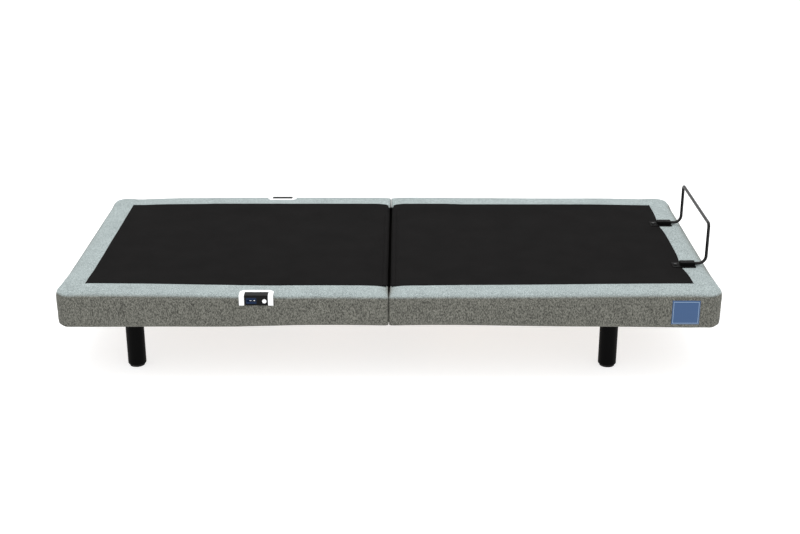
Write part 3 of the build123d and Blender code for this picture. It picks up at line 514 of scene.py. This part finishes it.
def birch_plywood():
    """Rotary-cut birch plywood: pale wood with wide soft grain, left bare."""
    material, tree, shader, place = start_material(
        "birch_plywood", linear("C9A77A"), 0.62, Specular_IOR_Level=0.4
    )
    wide = add_node(tree, "ShaderNodeMapping", {"Vector": place, "Scale": (0.25, 1, 1)})
    warp = add_node(
        tree,
        "ShaderNodeTexNoise",
        {"Vector": wide.outputs["Vector"], "Scale": 1 / (220 * MM), "Detail": 3},
    )
    soft = add_node(
        tree,
        "ShaderNodeValToRGB",
        {"Fac": warp.outputs["Fac"]},
        stops=((0.35, linear("D6C2A4")), (0.65, WHITE)),
    )
    long = add_node(tree, "ShaderNodeMapping", {"Vector": place, "Scale": (0.06, 1, 0.3)})
    grain = add_node(
        tree,
        "ShaderNodeTexNoise",
        {"Vector": long.outputs["Vector"], "Scale": 1 / (14 * MM), "Detail": 5, "Roughness": 0.65},
    )
    tone = add_node(
        tree,
        "ShaderNodeValToRGB",
        {"Fac": grain.outputs["Fac"]},
        stops=((0.3, linear("B28D5E")), (0.7, linear("D8BA8F"))),
    )
    veneer = add_node(
        tree,
        "ShaderNodeMix",
        {FACTOR: 0.7, COLOUR_A: tone.outputs["Color"], COLOUR_B: soft.outputs["Color"]},
        data_type="RGBA",
        blend_type="MULTIPLY",
    )
    tree.links.new(veneer.outputs[MIXED], shader.inputs["Base Color"])
    relief = add_node(
        tree,
        "ShaderNodeBump",
        {"Height": grain.outputs["Fac"], "Distance": 0.15 * MM, "Strength": 0.5},
    )
    tree.links.new(relief.outputs["Normal"], shader.inputs["Normal"])
    return material


def moulded(name, colour, roughness, grain, **sockets):
    """Injection-moulded plastic with the fine spark-eroded grain of its mould."""
    material, tree, shader, place = start_material(name, colour, roughness, **sockets)
    texture = add_node(tree, "ShaderNodeTexNoise", {"Vector": place, "Scale": 1 / (0.9 * MM)})
    relief = add_node(
        tree,
        "ShaderNodeBump",
        {"Height": texture.outputs["Fac"], "Distance": grain, "Strength": 0.6},
    )
    tree.links.new(relief.outputs["Normal"], shader.inputs["Normal"])
    flow = add_node(tree, "ShaderNodeTexNoise", {"Vector": place, "Scale": 1 / (45 * MM)})
    tinted = add_node(
        tree,
        "ShaderNodeValToRGB",
        {"Fac": flow.outputs["Fac"]},
        stops=((0.3, shade(colour, 0.94)), (0.7, shade(colour, 1.03))),
    )
    tree.links.new(tinted.outputs["Color"], shader.inputs["Base Color"])
    return material


def woven_label(field, line, low, high):
    """Damask label cloth: tight satin threads in two close tones, with a plain pale line round the edge."""
    material, tree, shader, place = start_material("woven_damask_label", field, 0.6, Sheen_Weight=0.3)
    # satin rows are 0.5 mm apart, drawn 6 mm apart so that they show
    rows = add_node(
        tree,
        "ShaderNodeTexWave",
        {"Vector": place, "Scale": 1 / (6 * MM), "Distortion": 0.4},
        bands_direction="Z",
    )
    woven = add_node(
        tree,
        "ShaderNodeValToRGB",
        {"Fac": rows.outputs["Fac"]},
        stops=((0.2, shade(field, 0.82)), (0.8, shade(field, 1.1))),
    )
    middle = [-(first + last) / 2 for first, last in zip(low, high)]
    centred = add_node(tree, "ShaderNodeMapping", {"Vector": place, "Location": middle})
    parts = add_node(tree, "ShaderNodeSeparateXYZ", {"Vector": centred.outputs["Vector"]})
    gaps = []
    for axis, name in ((0, "X"), (2, "Z")):
        away = add_node(tree, "ShaderNodeMath", {0: parts.outputs[name]}, operation="ABSOLUTE")
        half_size = (high[axis] - low[axis]) / 2
        gap = add_node(tree, "ShaderNodeMath", {0: half_size, 1: away.outputs[0]}, operation="SUBTRACT")
        gaps.append(gap.outputs[0])
    inset = add_node(tree, "ShaderNodeMath", {0: gaps[0], 1: gaps[1]}, operation="MINIMUM")
    band = add_node(
        tree,
        "ShaderNodeMath",
        {0: inset.outputs[0], 1: LABEL_LINE, 2: LABEL_LINE_HALF},
        operation="COMPARE",
    )
    lined = add_node(
        tree,
        "ShaderNodeMix",
        {FACTOR: band.outputs[0], COLOUR_A: woven.outputs["Color"], COLOUR_B: (*line, 1)},
        data_type="RGBA",
    )
    tree.links.new(lined.outputs[MIXED], shader.inputs["Base Color"])
    relief = add_node(
        tree,
        "ShaderNodeBump",
        {"Height": rows.outputs["Fac"], "Distance": 0.15 * MM, "Strength": 0.5},
    )
    tree.links.new(relief.outputs["Normal"], shader.inputs["Normal"])
    return material


# ---------------------------------------------------------------- mesh helpers
def new_piece(mesh, name, material, body, node=()):
    """Turn a bmesh into an object with its material, body and the CAD nodes it stands for."""
    data = bpy.data.meshes.new(name)
    mesh.to_mesh(data)
    mesh.free()
    piece = bpy.data.objects.new(name, data)
    bpy.context.scene.collection.objects.link(piece)
    data.materials.append(material)
    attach(piece, body)
    if node:
        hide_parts(*node)
    return piece


def add_block(mesh, low, high):
    """Add a block between two corners to a bmesh."""
    low, high = Vector(low), Vector(high)
    made = bmesh.ops.create_cube(mesh, size=1)["verts"]
    bmesh.ops.scale(mesh, vec=high - low, verts=made)
    bmesh.ops.translate(mesh, vec=(low + high) / 2, verts=made)
    return made


def round_edges(mesh, edges, radius, segments):
    """Round edges of a bmesh."""
    bmesh.ops.bevel(
        mesh,
        geom=edges,
        offset=radius,
        segments=segments,
        profile=0.5,
        affect="EDGES",
        material=-1,
        clamp_overlap=True,
    )


def sharp_edges(mesh):
    """Edges whose two faces meet at a sharp angle."""
    return [edge for edge in mesh.edges if len(edge.link_faces) == 2 and edge.calc_face_angle() > EDGE_ANGLE]


def cut(mesh, point, normal):
    """Cut a bmesh by a plane, and keep both sides."""
    geom = mesh.verts[:] + mesh.edges[:] + mesh.faces[:]
    bmesh.ops.bisect_plane(mesh, geom=geom, dist=IN_PLANE, plane_co=point, plane_no=normal)


def drop_faces(mesh, test):
    """Delete the faces whose middle passes a test."""
    gone = [face for face in mesh.faces if test(face.calc_center_median(), face.normal)]
    bmesh.ops.delete(mesh, geom=gone, context="FACES")


def evaluated_mesh(piece):
    """The piece's mesh with its modifiers worked out."""
    graph = bpy.context.evaluated_depsgraph_get()
    return bpy.data.meshes.new_from_object(piece.evaluated_get(graph))


def refined(node, name, material, body, radius, segments=2):
    """A rounded copy of a CAD node: merged, its flat faces rejoined and its sharp edges softened."""
    mesh = bmesh.new()
    mesh.from_mesh(frame["nodes"][node].data)
    bmesh.ops.remove_doubles(mesh, verts=mesh.verts, dist=WELD)
    bmesh.ops.dissolve_limit(mesh, angle_limit=FLAT_ANGLE, verts=mesh.verts, edges=mesh.edges)
    piece = new_piece(mesh, name, material, body, (node,))
    bevel = piece.modifiers.new("Softened edges", "BEVEL")
    bevel.width = radius
    bevel.segments = segments
    bevel.limit_method = "ANGLE"
    bevel.angle_limit = SHARP_ANGLE
    bevel.use_clamp_overlap = True
    piece.data.shade_smooth()
    piece.data.set_sharp_from_angle(angle=SHARP_ANGLE)
    return piece


def coat(node, material):
    """Give a CAD node its material."""
    for place in frame["nodes"][node].material_slots:
        place.material = material


# ---------------------------------------------------------------- upholstery
def far_end(node):
    """How far a node reaches from the seam."""
    low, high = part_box(node)
    return max(abs(low[0]), abs(high[0]))


def ease(value, low, high):
    """Smooth step from 0 at low to 1 at high."""
    step = min(1.0, max(0.0, (value - low) / (high - low)))
    return step * step * (3 - 2 * step)


def top_shift(x, y):
    """Puff of the near edge towards its ends and of the far edge between them, and the seam's dip."""
    near = max(0.0, 1 - abs(x) / SEAM_DIP_WIDTH)
    fade = 1 - SEAM_DIP_FADE * ease(abs(y), *SEAM_DIP_FADE_ACROSS)
    rise = END_RISE * ease(abs(x), *END_RISE_ALONG) * ease(-y, *END_RISE_ACROSS)
    crown = FAR_CROWN * ease(y, *FAR_CROWN_ACROSS) * (1 - ease(abs(x), *FAR_CROWN_ALONG))
    return rise + crown - SEAM_DIP * near * near * fade


def hem_lift(half, x):
    """How far the hem rises towards the seam, where the skirt is pulled up, less its sag at the end."""
    return HEM_LIFT * (1 - ease(abs(x), *HEM_LIFT_ALONG[half])) - HEM_SAG * ease(abs(x), *HEM_SAG_ALONG)


def seam_bulge(place):
    """How far the side of the cover bulges over the seam, fading away from it."""
    across = ease(abs(place.y), *SEAM_TUCK_ACROSS)
    low = ease(-place.z, -SEAM_TUCK_HEIGHT[1], -SEAM_TUCK_HEIGHT[0])
    bulge = SEAM_BULGE + SEAM_TUCK * max(across, low)
    return bulge * ease(-abs(place.x), -SEAM_BULGE_ALONG[1], -SEAM_BULGE_ALONG[0])


def footprints(half):
    """The parts of the top where a fitting presses the padding down, as boxes in x and y."""
    if half == "foot":
        low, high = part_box("bar_brackets")
        return [
            (low[0], high[0], low[1], low[1] + 2 * BRACKET_HALF),
            (low[0], high[0], high[1] - 2 * BRACKET_HALF, high[1]),
        ]
    boxes = [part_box(f"console_surround_{side}") for side in SIDES]
    return [(low[0], high[0], low[1], high[1]) for low, high in boxes]


def pressed(half, point, reach):
    """Whether a point lies under a fitting or near it."""
    for low_x, high_x, low_y, high_y in footprints(half):
        if low_x - reach < point.x < high_x + reach and low_y - reach < point.y < high_y + reach:
            return True
    return False


def cover_blank(half, settings):
    """Rounded block of one half, evenly meshed: the padded shape before anything is cut away."""
    low, high = (Vector(corner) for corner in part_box(f"{half}_border"))
    high.z -= DECK_CLOTH
    mesh = bmesh.new()
    add_block(mesh, low, high)
    end_x = low.x if half == "head" else high.x
    corners = [
        edge
        for edge in mesh.edges
        if all(abs(vert.co.x - end_x) < IN_PLANE for vert in edge.verts)
        and abs(edge.verts[0].co.z - edge.verts[1].co.z) > LEVEL
    ]
    round_edges(mesh, corners, settings.corner, segments=12)
    seam_x = high.x if half == "head" else low.x
    at_seam = [
        edge
        for edge in sharp_edges(mesh)
        if all(abs(vert.co.x - seam_x) < IN_PLANE for vert in edge.verts)
        and (edge.verts[0].co.z + edge.verts[1].co.z) / 2 < high.z - LEVEL
    ]
    round_edges(mesh, at_seam, settings.seam_edge, segments=2)
    rest = [
        edge
        for edge in sharp_edges(mesh)
        if any(abs(vert.co.x - seam_x) > 5 * MM for vert in edge.verts)
    ]
    round_edges(mesh, rest, settings.edge, segments=4)
    top = [edge for edge in sharp_edges(mesh) if all(vert.co.z > high.z - LEVEL for vert in edge.verts)]
    round_edges(mesh, top, settings.edge / 2, segments=3)
    data = bpy.data.meshes.new("blank")
    mesh.to_mesh(data)
    mesh.free()
    blank = bpy.data.objects.new("blank", data)
    bpy.context.scene.collection.objects.link(blank)
    remesh = blank.modifiers.new("Even cells", "REMESH")
    remesh.mode = "VOXEL"
    remesh.voxel_size = settings.voxel
    even = evaluated_mesh(blank)
    bpy.data.objects.remove(blank)
    return even


def cut_cover(half, even, settings):
    """Open the blank into a skin: no underside, no deck, hinge notches and console pockets."""
    sign = HALVES[half]
    low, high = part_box(f"{half}_border")
    hem_x = far_end(f"{half}_border") - settings.hem
    hem_y = high[1] - settings.hem
    deck_x = far_end(f"{half}_deck_pad") - DECK_TUCK
    deck_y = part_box(f"{half}_deck_pad")[1][1] - DECK_TUCK
    mesh = bmesh.new()
    mesh.from_mesh(even)
    for _ in range(2):
        bmesh.ops.smooth_vert(
            mesh, verts=mesh.verts, factor=0.5, use_axis_x=True, use_axis_y=True, use_axis_z=True
        )
    for x in (sign * hem_x, sign * deck_x):
        cut(mesh, (x, 0, 0), (1, 0, 0))
    for y in (hem_y, deck_y, *NOTCH):
        for side in (-1, 1):
            cut(mesh, (0, side * y, 0), (0, 1, 0))
    for z in (SEAM_WALL_TOP, DECK_OPENING):
        cut(mesh, (0, 0, z), (0, 0, 1))
    pocket = None
    if half == "head":
        # the far console mirrors the near one, so one box serves both
        pocket, pocket_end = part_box("console_housing_far")
        for x in (pocket[0], pocket_end[0]):
            cut(mesh, (x, 0, 0), (1, 0, 0))
        for side in (-1, 1):
            cut(mesh, (0, side * pocket[1], 0), (0, 1, 0))
        cut(mesh, (0, 0, pocket[2]), (0, 0, 1))

    def unseen(middle, normal):
        x, y, z = abs(middle.x), abs(middle.y), middle.z
        underside = z < UNDERSIDE and normal.z < -FACING and x < hem_x and y < hem_y
        seam_wall = x < SEAM_WALL and normal.x * sign < -FACING and y < hem_y and z < SEAM_WALL_TOP
        deck = z > DECK_OPENING and x < deck_x and y < deck_y
        seam_gap = x < SEAM_GAP and y < deck_y and z > SEAM_GAP_FLOOR
        hinge_notch = x < SEAM_GAP and NOTCH[0] < y < NOTCH[1] and z < DECK_OPENING
        console = (
            pocket is not None
            and pocket[0] < middle.x < pocket_end[0]
            and y > pocket[1]
            and z > pocket[2]
        )
        return underside or seam_wall or deck or seam_gap or hinge_notch or console

    drop_faces(mesh, unseen)
    rim = [
        edge
        for edge in mesh.edges
        if len(edge.link_faces) == 1
        and all(vert.co.z < HEM_RIM for vert in edge.verts)
        and all(abs(vert.co.y) < hem_y + LEVEL and abs(vert.co.x) < hem_x + LEVEL for vert in edge.verts)
        and all(abs(vert.co.x) > HEM_RIM_START for vert in edge.verts)
    ]
    risen = bmesh.ops.extrude_edge_only(mesh, edges=rim)["geom"]
    bmesh.ops.translate(
        mesh, vec=(0, 0, HEM_RETURN), verts=[item for item in risen if isinstance(item, bmesh.types.BMVert)]
    )
    depth = high[2] - low[2]
    for vert in mesh.verts:
        share = max(0.0, (high[2] - vert.co.z) / depth)
        if vert.co.z > PUFF_ABOVE:
            vert.co.z += top_shift(vert.co.x, vert.co.y)
        vert.co.z += hem_lift(half, vert.co.x) * share
        if abs(vert.co.y) > deck_y:
            vert.co.x = sign * max(SEAM_CLEARANCE, abs(vert.co.x) - seam_bulge(vert.co))
    return mesh


def pin_cover(half, piece, settings):
    """Hold the cover where it is sewn, stapled or pressed by a fitting."""
    deck_x = far_end(f"{half}_deck_pad")
    deck_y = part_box(f"{half}_deck_pad")[1][1]
    staple_x = far_end(f"{half}_border") - STAPLE_INSET
    staple_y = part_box(f"{half}_border")[1][1] - STAPLE_INSET
    group = piece.vertex_groups.new(name="Pinned")
    held = []
    for vert in piece.data.vertices:
        place = vert.co
        under_deck = place.z > SEWN_ABOVE and abs(place.y) < deck_y and abs(place.x) < deck_x
        at_seam = abs(place.x) < SEWN_AT_SEAM
        stapled = abs(place.y) < staple_y and abs(place.x) < staple_x and place.z < STAPLED_BELOW
        if under_deck or at_seam or stapled or pressed(half, place, PRESS_REACH):
            held.append(vert.index)
    group.add(held, 1.0, "REPLACE")
    return group.name


def swell(piece, pins, cap):
    """Blow the padding out with a cloth simulation, and cap how far each point moves."""
    cloth = piece.modifiers.new("Padding", "CLOTH")
    cloth.settings.vertex_group_mass = pins
    cloth.settings.quality = 4
    cloth.settings.use_pressure = True
    cloth.settings.uniform_pressure_force = PRESSURE
    cloth.settings.effector_weights.gravity = 0
    cloth.point_cache.frame_start = 1
    cloth.point_cache.frame_end = SWELL_FRAMES
    scene = bpy.context.scene
    for frame_number in range(1, SWELL_FRAMES + 1):
        scene.frame_set(frame_number)
    blown = evaluated_mesh(piece)
    for vert, moved in zip(piece.data.vertices, blown.vertices):
        step = moved.co - vert.co
        if step.length > cap:
            step *= cap / step.length
        vert.co += step
    piece.modifiers.remove(cloth)
    bpy.data.meshes.remove(blown)
    scene.frame_set(1)


def make_cover(half, settings, material):
    """Padded grey border and skirt of one half."""
    mesh = cut_cover(half, cover_blank(half, settings), settings)
    piece = new_piece(mesh, f"{half}_cover", material, f"{half}_half", (f"{half}_border",))
    pins = pin_cover(half, piece, settings)
    swell(piece, pins, settings.swell)
    piece.vertex_groups.clear()
    thick = piece.modifiers.new("Cover fabric", "SOLIDIFY")
    thick.thickness = settings.fabric
    thick.offset = -1
    soft = piece.modifiers.new("Soft surface", "SUBSURF")
    soft.levels = 1
    soft.render_levels = 1
    piece.data.shade_smooth()
    return piece


def deck_edge_wave(half, y):
    """Small pull of the sewn deck edge, drawn in where the bar brackets are screwed down."""
    wave = EDGE_WAVE * noise.noise(Vector((0.3, y * 9, 4.7)))
    if half == "foot":
        low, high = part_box("bar_brackets")
        for bracket_y in (low[1] + BRACKET_HALF, high[1] - BRACKET_HALF):
            wave -= BRACKET_PULL * math.exp(-(((y - bracket_y) / BRACKET_PULL_WIDTH) ** 2))
        wave += FOOT_EDGE_OUT
    return wave


def make_deck_cloth(half, material):
    """Black non-slip cloth over one half's deck, turned down at the seam and hemmed at its other edges."""
    sign = HALVES[half]
    low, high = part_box(f"{half}_deck_pad")
    far_x = far_end(f"{half}_deck_pad")
    seam_x = min(abs(low[0]), abs(high[0]))
    side_y = high[1]
    top = high[2]
    arc = DECK_ROUND * math.pi / 2
    drop = top - DECK_ROUND - low[2]
    flat = far_x - seam_x - DECK_ROUND
    length = flat + arc + drop
    mesh = bmesh.new()
    bmesh.ops.create_grid(mesh, x_segments=96, y_segments=80, size=0.5)
    bmesh.ops.scale(mesh, vec=(length, 2 * side_y, 1), verts=mesh.verts)
    bmesh.ops.translate(mesh, vec=(length / 2, 0, 0), verts=mesh.verts)
    for inset in DECK_STITCH:
        cut(mesh, (length - inset, 0, 0), (1, 0, 0))
        for side in (-1, 1):
            cut(mesh, (0, side * (side_y - inset), 0), (0, 1, 0))
    for x in (drop, drop + arc / 4, drop + arc / 2, drop + arc * 3 / 4, drop + arc):
        cut(mesh, (x, 0, 0), (1, 0, 0))
    for side in (-1, 1):
        cut(mesh, (0, side * NOTCH[0], 0), (0, 1, 0))
    drop_faces(mesh, lambda middle, normal: middle.x < drop + arc / 2 and abs(middle.y) > NOTCH[0])
    for vert in mesh.verts:
        along, y = vert.co.x, vert.co.y
        edge = min(length - along, side_y - abs(y))
        if along < drop:
            x, z = seam_x, top - DECK_ROUND - (drop - along)
        elif along < drop + arc:
            angle = (along - drop) / DECK_ROUND
            x = seam_x + DECK_ROUND * (1 - math.cos(angle))
            z = top - DECK_ROUND * (1 - math.sin(angle))
        else:
            x, z = seam_x + DECK_ROUND + along - drop - arc, top
            sag = 0.5 + 0.5 * noise.noise(Vector((x * 5, y * 5, 1.3 * sign)))
            z -= DECK_SAG * sag * min(1.0, max(0.0, edge - DECK_STITCH[1]) / DECK_SAG_REACH)
            if DECK_STITCH[0] - 2 * MM < edge < DECK_STITCH[0] + 2 * MM:
                z -= STITCH_DEPTH
            x += deck_edge_wave(half, y) * min(1.0, x / far_x) ** 8
            z += top_shift(x, y)
        y += SIDE_WAVE * noise.noise(Vector((x * 7, 2.1, sign))) * (abs(y) / side_y) ** 8
        vert.co = (sign * x, y, z)
    if sign < 0:
        bmesh.ops.reverse_faces(mesh, faces=mesh.faces)
    piece = new_piece(
        mesh, f"{half}_deck_cloth", material, f"{half}_half", (f"{half}_deck_pad",)
    )
    thick = piece.modifiers.new("Cloth", "SOLIDIFY")
    thick.thickness = DECK_CLOTH
    thick.offset = -1
    piece.data.shade_smooth()
    return piece


def make_board(half, material):
    """Plywood deck board of one half, its seam edge eased down under the cover."""
    piece = refined(
        f"{half}_deck_board", f"{half}_board", material, f"{half}_half", 0.6 * MM
    )
    mesh = bmesh.new()
    mesh.from_mesh(piece.data)
    sign = HALVES[half]
    for step in range(1, BOARD_CUTS + 1):
        cut(mesh, (sign * step * SEAM_DIP_WIDTH / BOARD_CUTS, 0, 0), (1, 0, 0))
    for vert in mesh.verts:
        if vert.co.z > BOARD_TOP:
            vert.co.z += min(0.0, top_shift(vert.co.x, 0)) - BOARD_DROP
    mesh.to_mesh(piece.data)
    mesh.free()
    return piece


class BED_OT_upholstery(bpy.types.Operator):
    """Add the padded covers and the black deck cloths"""

    bl_idname = "bed_base.upholstery"
    bl_label = "Upholstery"

    def execute(self, context):
        settings = context.scene.bed_upholstery
        heather = heather_weave(settings.lit_top_colour, settings.shaded_side_colour)
        felt = deck_felt(settings.deck_colour)
        wood = birch_plywood()
        for half in HALVES:
            make_board(half, wood)
            make_cover(half, settings, heather)
            make_deck_cloth(half, felt)
        return {"FINISHED"}


# ---------------------------------------------------------------- label
class BED_OT_label(bpy.types.Operator):
    """Add the plain woven label, laid on the cover of the foot half"""

    bl_idname = "bed_base.label"
    bl_label = "Label"

    def execute(self, context):
        settings = context.scene.bed_fittings
        low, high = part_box("side_label")
        cloth = woven_label(settings.label, linear("8FA6BC"), low, high)
        cover = evaluated_mesh(bpy.data.objects["foot_cover"])
        skin = bmesh.new()
        skin.from_mesh(cover)
        surface = BVHTree.FromBMesh(skin)
        skin.free()
        bpy.data.meshes.remove(cover)
        mesh = bmesh.new()
        bmesh.ops.create_grid(mesh, x_segments=24, y_segments=20, size=0.5)
        bmesh.ops.scale(mesh, vec=(high[0] - low[0], high[2] - low[2], 1), verts=mesh.verts)
        for vert in mesh.verts:
            x = (low[0] + high[0]) / 2 + vert.co.x
            z = (low[2] + high[2]) / 2 + vert.co.y
            hit = surface.ray_cast(Vector((x, -1, z)), Vector((0, 1, 0)))[0]
            if hit is None:
                raise RuntimeError("the label has no cover behind it")
            vert.co = (x, hit.y - LABEL_GAP, z)
        bmesh.ops.recalc_face_normals(mesh, faces=mesh.faces)
        if mesh.faces[0].normal.y > 0:
            bmesh.ops.reverse_faces(mesh, faces=mesh.faces)
        piece = new_piece(mesh, "woven_label", cloth, "foot_half", ("side_label",))
        thick = piece.modifiers.new("Cloth", "SOLIDIFY")
        thick.thickness = LABEL_CLOTH
        thick.offset = 1
        piece.data.shade_smooth()
        return {"FINISHED"}


# ---------------------------------------------------------------- consoles
class BED_OT_consoles(bpy.types.Operator):
    """Add the white surrounds, black housings, port windows and push buttons"""

    bl_idname = "bed_base.consoles"
    bl_label = "Side consoles"

    def execute(self, context):
        settings = context.scene.bed_fittings
        edge = settings.edge
        white = moulded("gloss_moulded_abs", settings.white, roughness=0.22, grain=0.02 * MM)
        black = moulded(
            "grained_moulded_abs", settings.black, roughness=0.5, grain=0.06 * MM, Specular_IOR_Level=0.15
        )
        tinted = moulded(
            "tinted_polycarbonate", settings.window, roughness=0.2, grain=0.01 * MM, Specular_IOR_Level=0.15
        )
        for side in SIDES:
            for node, name, plastic, body, slot, radius, segments in (
                ("console_surround", "surround", white, "head_half", "white_plastic", edge * 1.5, 3),
                ("console_housing", "housing", black, "head_half", "housing_plastic", edge, 2),
                ("usb_ports", "ports", tinted, "head_half", "port_plastic", edge / 3, 2),
                ("console_button", "button", white, f"{side}_button", "white_plastic", edge, 3),
            ):
                refined(f"{node}_{side}", f"{name}_{side}", plastic, body, radius, segments)
            mesh = bmesh.new()
            low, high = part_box(f"usb_ports_{side}")
            front_y = low[1] if side == "near" else high[1]
            ends = sorted(front_y - SIDES[side] * depth for depth in TONGUE_DEPTH)
            middle_z = (low[2] + high[2]) / 2
            for shift, half_width in TONGUES:
                middle_x = (low[0] + high[0]) / 2 + shift
                add_block(
                    mesh,
                    (middle_x - half_width, ends[0], middle_z + TONGUE_HEIGHT[0]),
                    (middle_x + half_width, ends[1], middle_z + TONGUE_HEIGHT[1]),
                )
            round_edges(mesh, mesh.edges[:], 0.3 * MM, segments=2)
            new_piece(mesh, f"port_tongues_{side}", white, "head_half")
        return {"FINISHED"}


# ---------------------------------------------------------------- steel, boards and mechanism
class BED_OT_hardware(bpy.types.Operator):
    """Finish the legs, chassis, frames, boards, motors and retainer bar"""

    bl_idname = "bed_base.hardware"
    bl_label = "Hardware"

    def execute(self, context):
        settings = context.scene.bed_fittings
        paint = powder_coat("powder_coated_steel", settings.black, smooth=0.5, rough=0.7, specular=0.1)
        satin = powder_coat(
            "satin_powder_coated_steel", settings.black, smooth=0.28, rough=0.42, specular=0.3
        )
        zinc = zinc_plate()
        tube = drawn_aluminium()
        wood = bpy.data.materials["birch_plywood"]
        nylon = moulded("cast_nylon", linear("DCDDD6"), roughness=0.45, grain=0.04 * MM)
        rubber = moulded("moulded_rubber", linear("151515"), roughness=0.85, grain=0.08 * MM)
        casing = moulded("grained_polypropylene", linear("161617"), roughness=0.5, grain=0.1 * MM)
        leg_plastic = moulded(
            "satin_polypropylene", settings.black, roughness=0.5, grain=0.03 * MM, Specular_IOR_Level=0.05
        )
        by_slot = {
            "black_steel": paint,
            "screw_steel": satin,
            "zinc_steel": zinc,
            "tube_aluminium": tube,
            "plywood": wood,
            "roller_nylon": nylon,
            "bearing_nylon": nylon,
            "bumper_rubber": rubber,
            "motor_plastic": casing,
            "leg_black": leg_plastic,
        }
        for part in frame["record"]["subparts"]:
            if part["material_slot"] in by_slot:
                coat(part["node"], by_slot[part["material_slot"]])
        coat("retainer_bar", satin)
        # the strip under the seam is a near-black sheet that stands in for the shade in the gap
        coat("seam_guard", seam_shade_paint(settings.black))
        return {"FINISHED"}


# ---------------------------------------------------------------- studio
class StudioSettings(bpy.types.PropertyGroup):
    """Camera and light."""

    lens: bpy.props.FloatProperty(
        name="Lens", description="Focal length in millimetres", default=58.83, min=1
    )
    distance: bpy.props.FloatProperty(
        name="Distance", description="Camera's distance in front of the near side", default=3.6433,
        unit="LENGTH",
    )
    height: bpy.props.FloatProperty(
        name="Height", description="Camera's height above the deck", default=1.494, unit="LENGTH"
    )
    across: bpy.props.FloatProperty(
        name="Across", description="Camera's place along the bed, from the seam", default=0.0397,
        unit="LENGTH",
    )
    pitch: bpy.props.FloatProperty(
        name="Pitch", description="How far the camera looks down", default=math.radians(21.02),
        unit="ROTATION",
    )
    turn: bpy.props.FloatProperty(
        name="Turn", description="How far the camera looks to its left", default=math.radians(0.088),
        unit="ROTATION",
    )


def add_light(name, size, place, energy, target):
    """Add a rectangular soft light that faces a point."""
    light = bpy.data.lights.new(name, "AREA")
    light.shape = "RECTANGLE"
    light.size, light.size_y = size
    light.energy = energy
    lamp = bpy.data.objects.new(name, light)
    bpy.context.scene.collection.objects.link(lamp)
    lamp.location = place
    lamp.rotation_euler = (Vector(target) - Vector(place)).to_track_quat("-Z", "Y").to_euler()


class BED_OT_studio(bpy.types.Operator):
    """Add the pale floor, the soft light and the camera"""

    bl_idname = "bed_base.studio"
    bl_label = "Studio"

    def execute(self, context):
        scene = context.scene
        settings = scene.bed_studio
        paper, tree, shader, place = start_material(
            "lit_white_acrylic", linear("BCBCBC"), 0.9, Emission_Color=(1, 1, 1, 1), Emission_Strength=0.72
        )
        fibre = add_node(tree, "ShaderNodeTexNoise", {"Vector": place, "Scale": 1 / (3 * MM)})
        relief = add_node(
            tree,
            "ShaderNodeBump",
            {"Height": fibre.outputs["Fac"], "Distance": 0.05 * MM, "Strength": 0.2},
        )
        tree.links.new(relief.outputs["Normal"], shader.inputs["Normal"])
        mesh = bmesh.new()
        bmesh.ops.create_grid(mesh, x_segments=1, y_segments=1, size=30)
        data = bpy.data.meshes.new("floor")
        mesh.to_mesh(data)
        mesh.free()
        floor = bpy.data.objects.new("floor", data)
        data.materials.append(paper)
        scene.collection.objects.link(floor)

        world = bpy.data.worlds.new("white_room")
        world.use_nodes = True
        world.node_tree.nodes["Background"].inputs["Color"].default_value = (1, 1, 1, 1)
        world.node_tree.nodes["Background"].inputs["Strength"].default_value = 1.05
        scene.world = world
        scene.view_settings.view_transform = "Standard"
        scene.view_settings.look = "None"

        add_light("overhead", size=(4, 3), place=(0, 0.2, 3.4), energy=60, target=(0, 0, 0.2))

        camera = bpy.data.cameras.new("camera")
        camera.lens = settings.lens
        camera.sensor_width = 36
        camera.clip_end = 100
        eye = bpy.data.objects.new("camera", camera)
        scene.collection.objects.link(eye)
        deck_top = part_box("head_deck_pad")[1][2]
        side_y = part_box("head_border")[0][1]
        eye.location = (settings.across, side_y - settings.distance, deck_top + settings.height)
        eye.rotation_euler = (math.pi / 2 - settings.pitch, 0, settings.turn)
        scene.camera = eye
        return {"FINISHED"}


class BED_PT_panel(bpy.types.Panel):
    """Lists the steps that dress the bed base"""

    bl_idname = "BED_PT_panel"
    bl_label = "Adjustable bed base"
    bl_space_type = "VIEW_3D"
    bl_region_type = "UI"
    bl_category = "Bed base"

    def draw(self, context):
        for operator in OPERATORS:
            self.layout.operator(operator.bl_idname)


GROUPS = {
    "bed_upholstery": UpholsterySettings,
    "bed_fittings": FittingSettings,
    "bed_studio": StudioSettings,
}
OPERATORS = (BED_OT_studio, BED_OT_upholstery, BED_OT_label, BED_OT_consoles, BED_OT_hardware)


def register():
    for kind in (*GROUPS.values(), *OPERATORS, BED_PT_panel):
        bpy.utils.register_class(kind)
    for name, kind in GROUPS.items():
        setattr(bpy.types.Scene, name, bpy.props.PointerProperty(type=kind))


def unregister():
    for name in GROUPS:
        delattr(bpy.types.Scene, name)
    for kind in reversed((*GROUPS.values(), *OPERATORS, BED_PT_panel)):
        bpy.utils.unregister_class(kind)


def main():
    register()
    for operator in OPERATORS:
        family, name = operator.bl_idname.split(".")
        getattr(getattr(bpy.ops, family), name)()


if __name__ == "__main__":
    main()
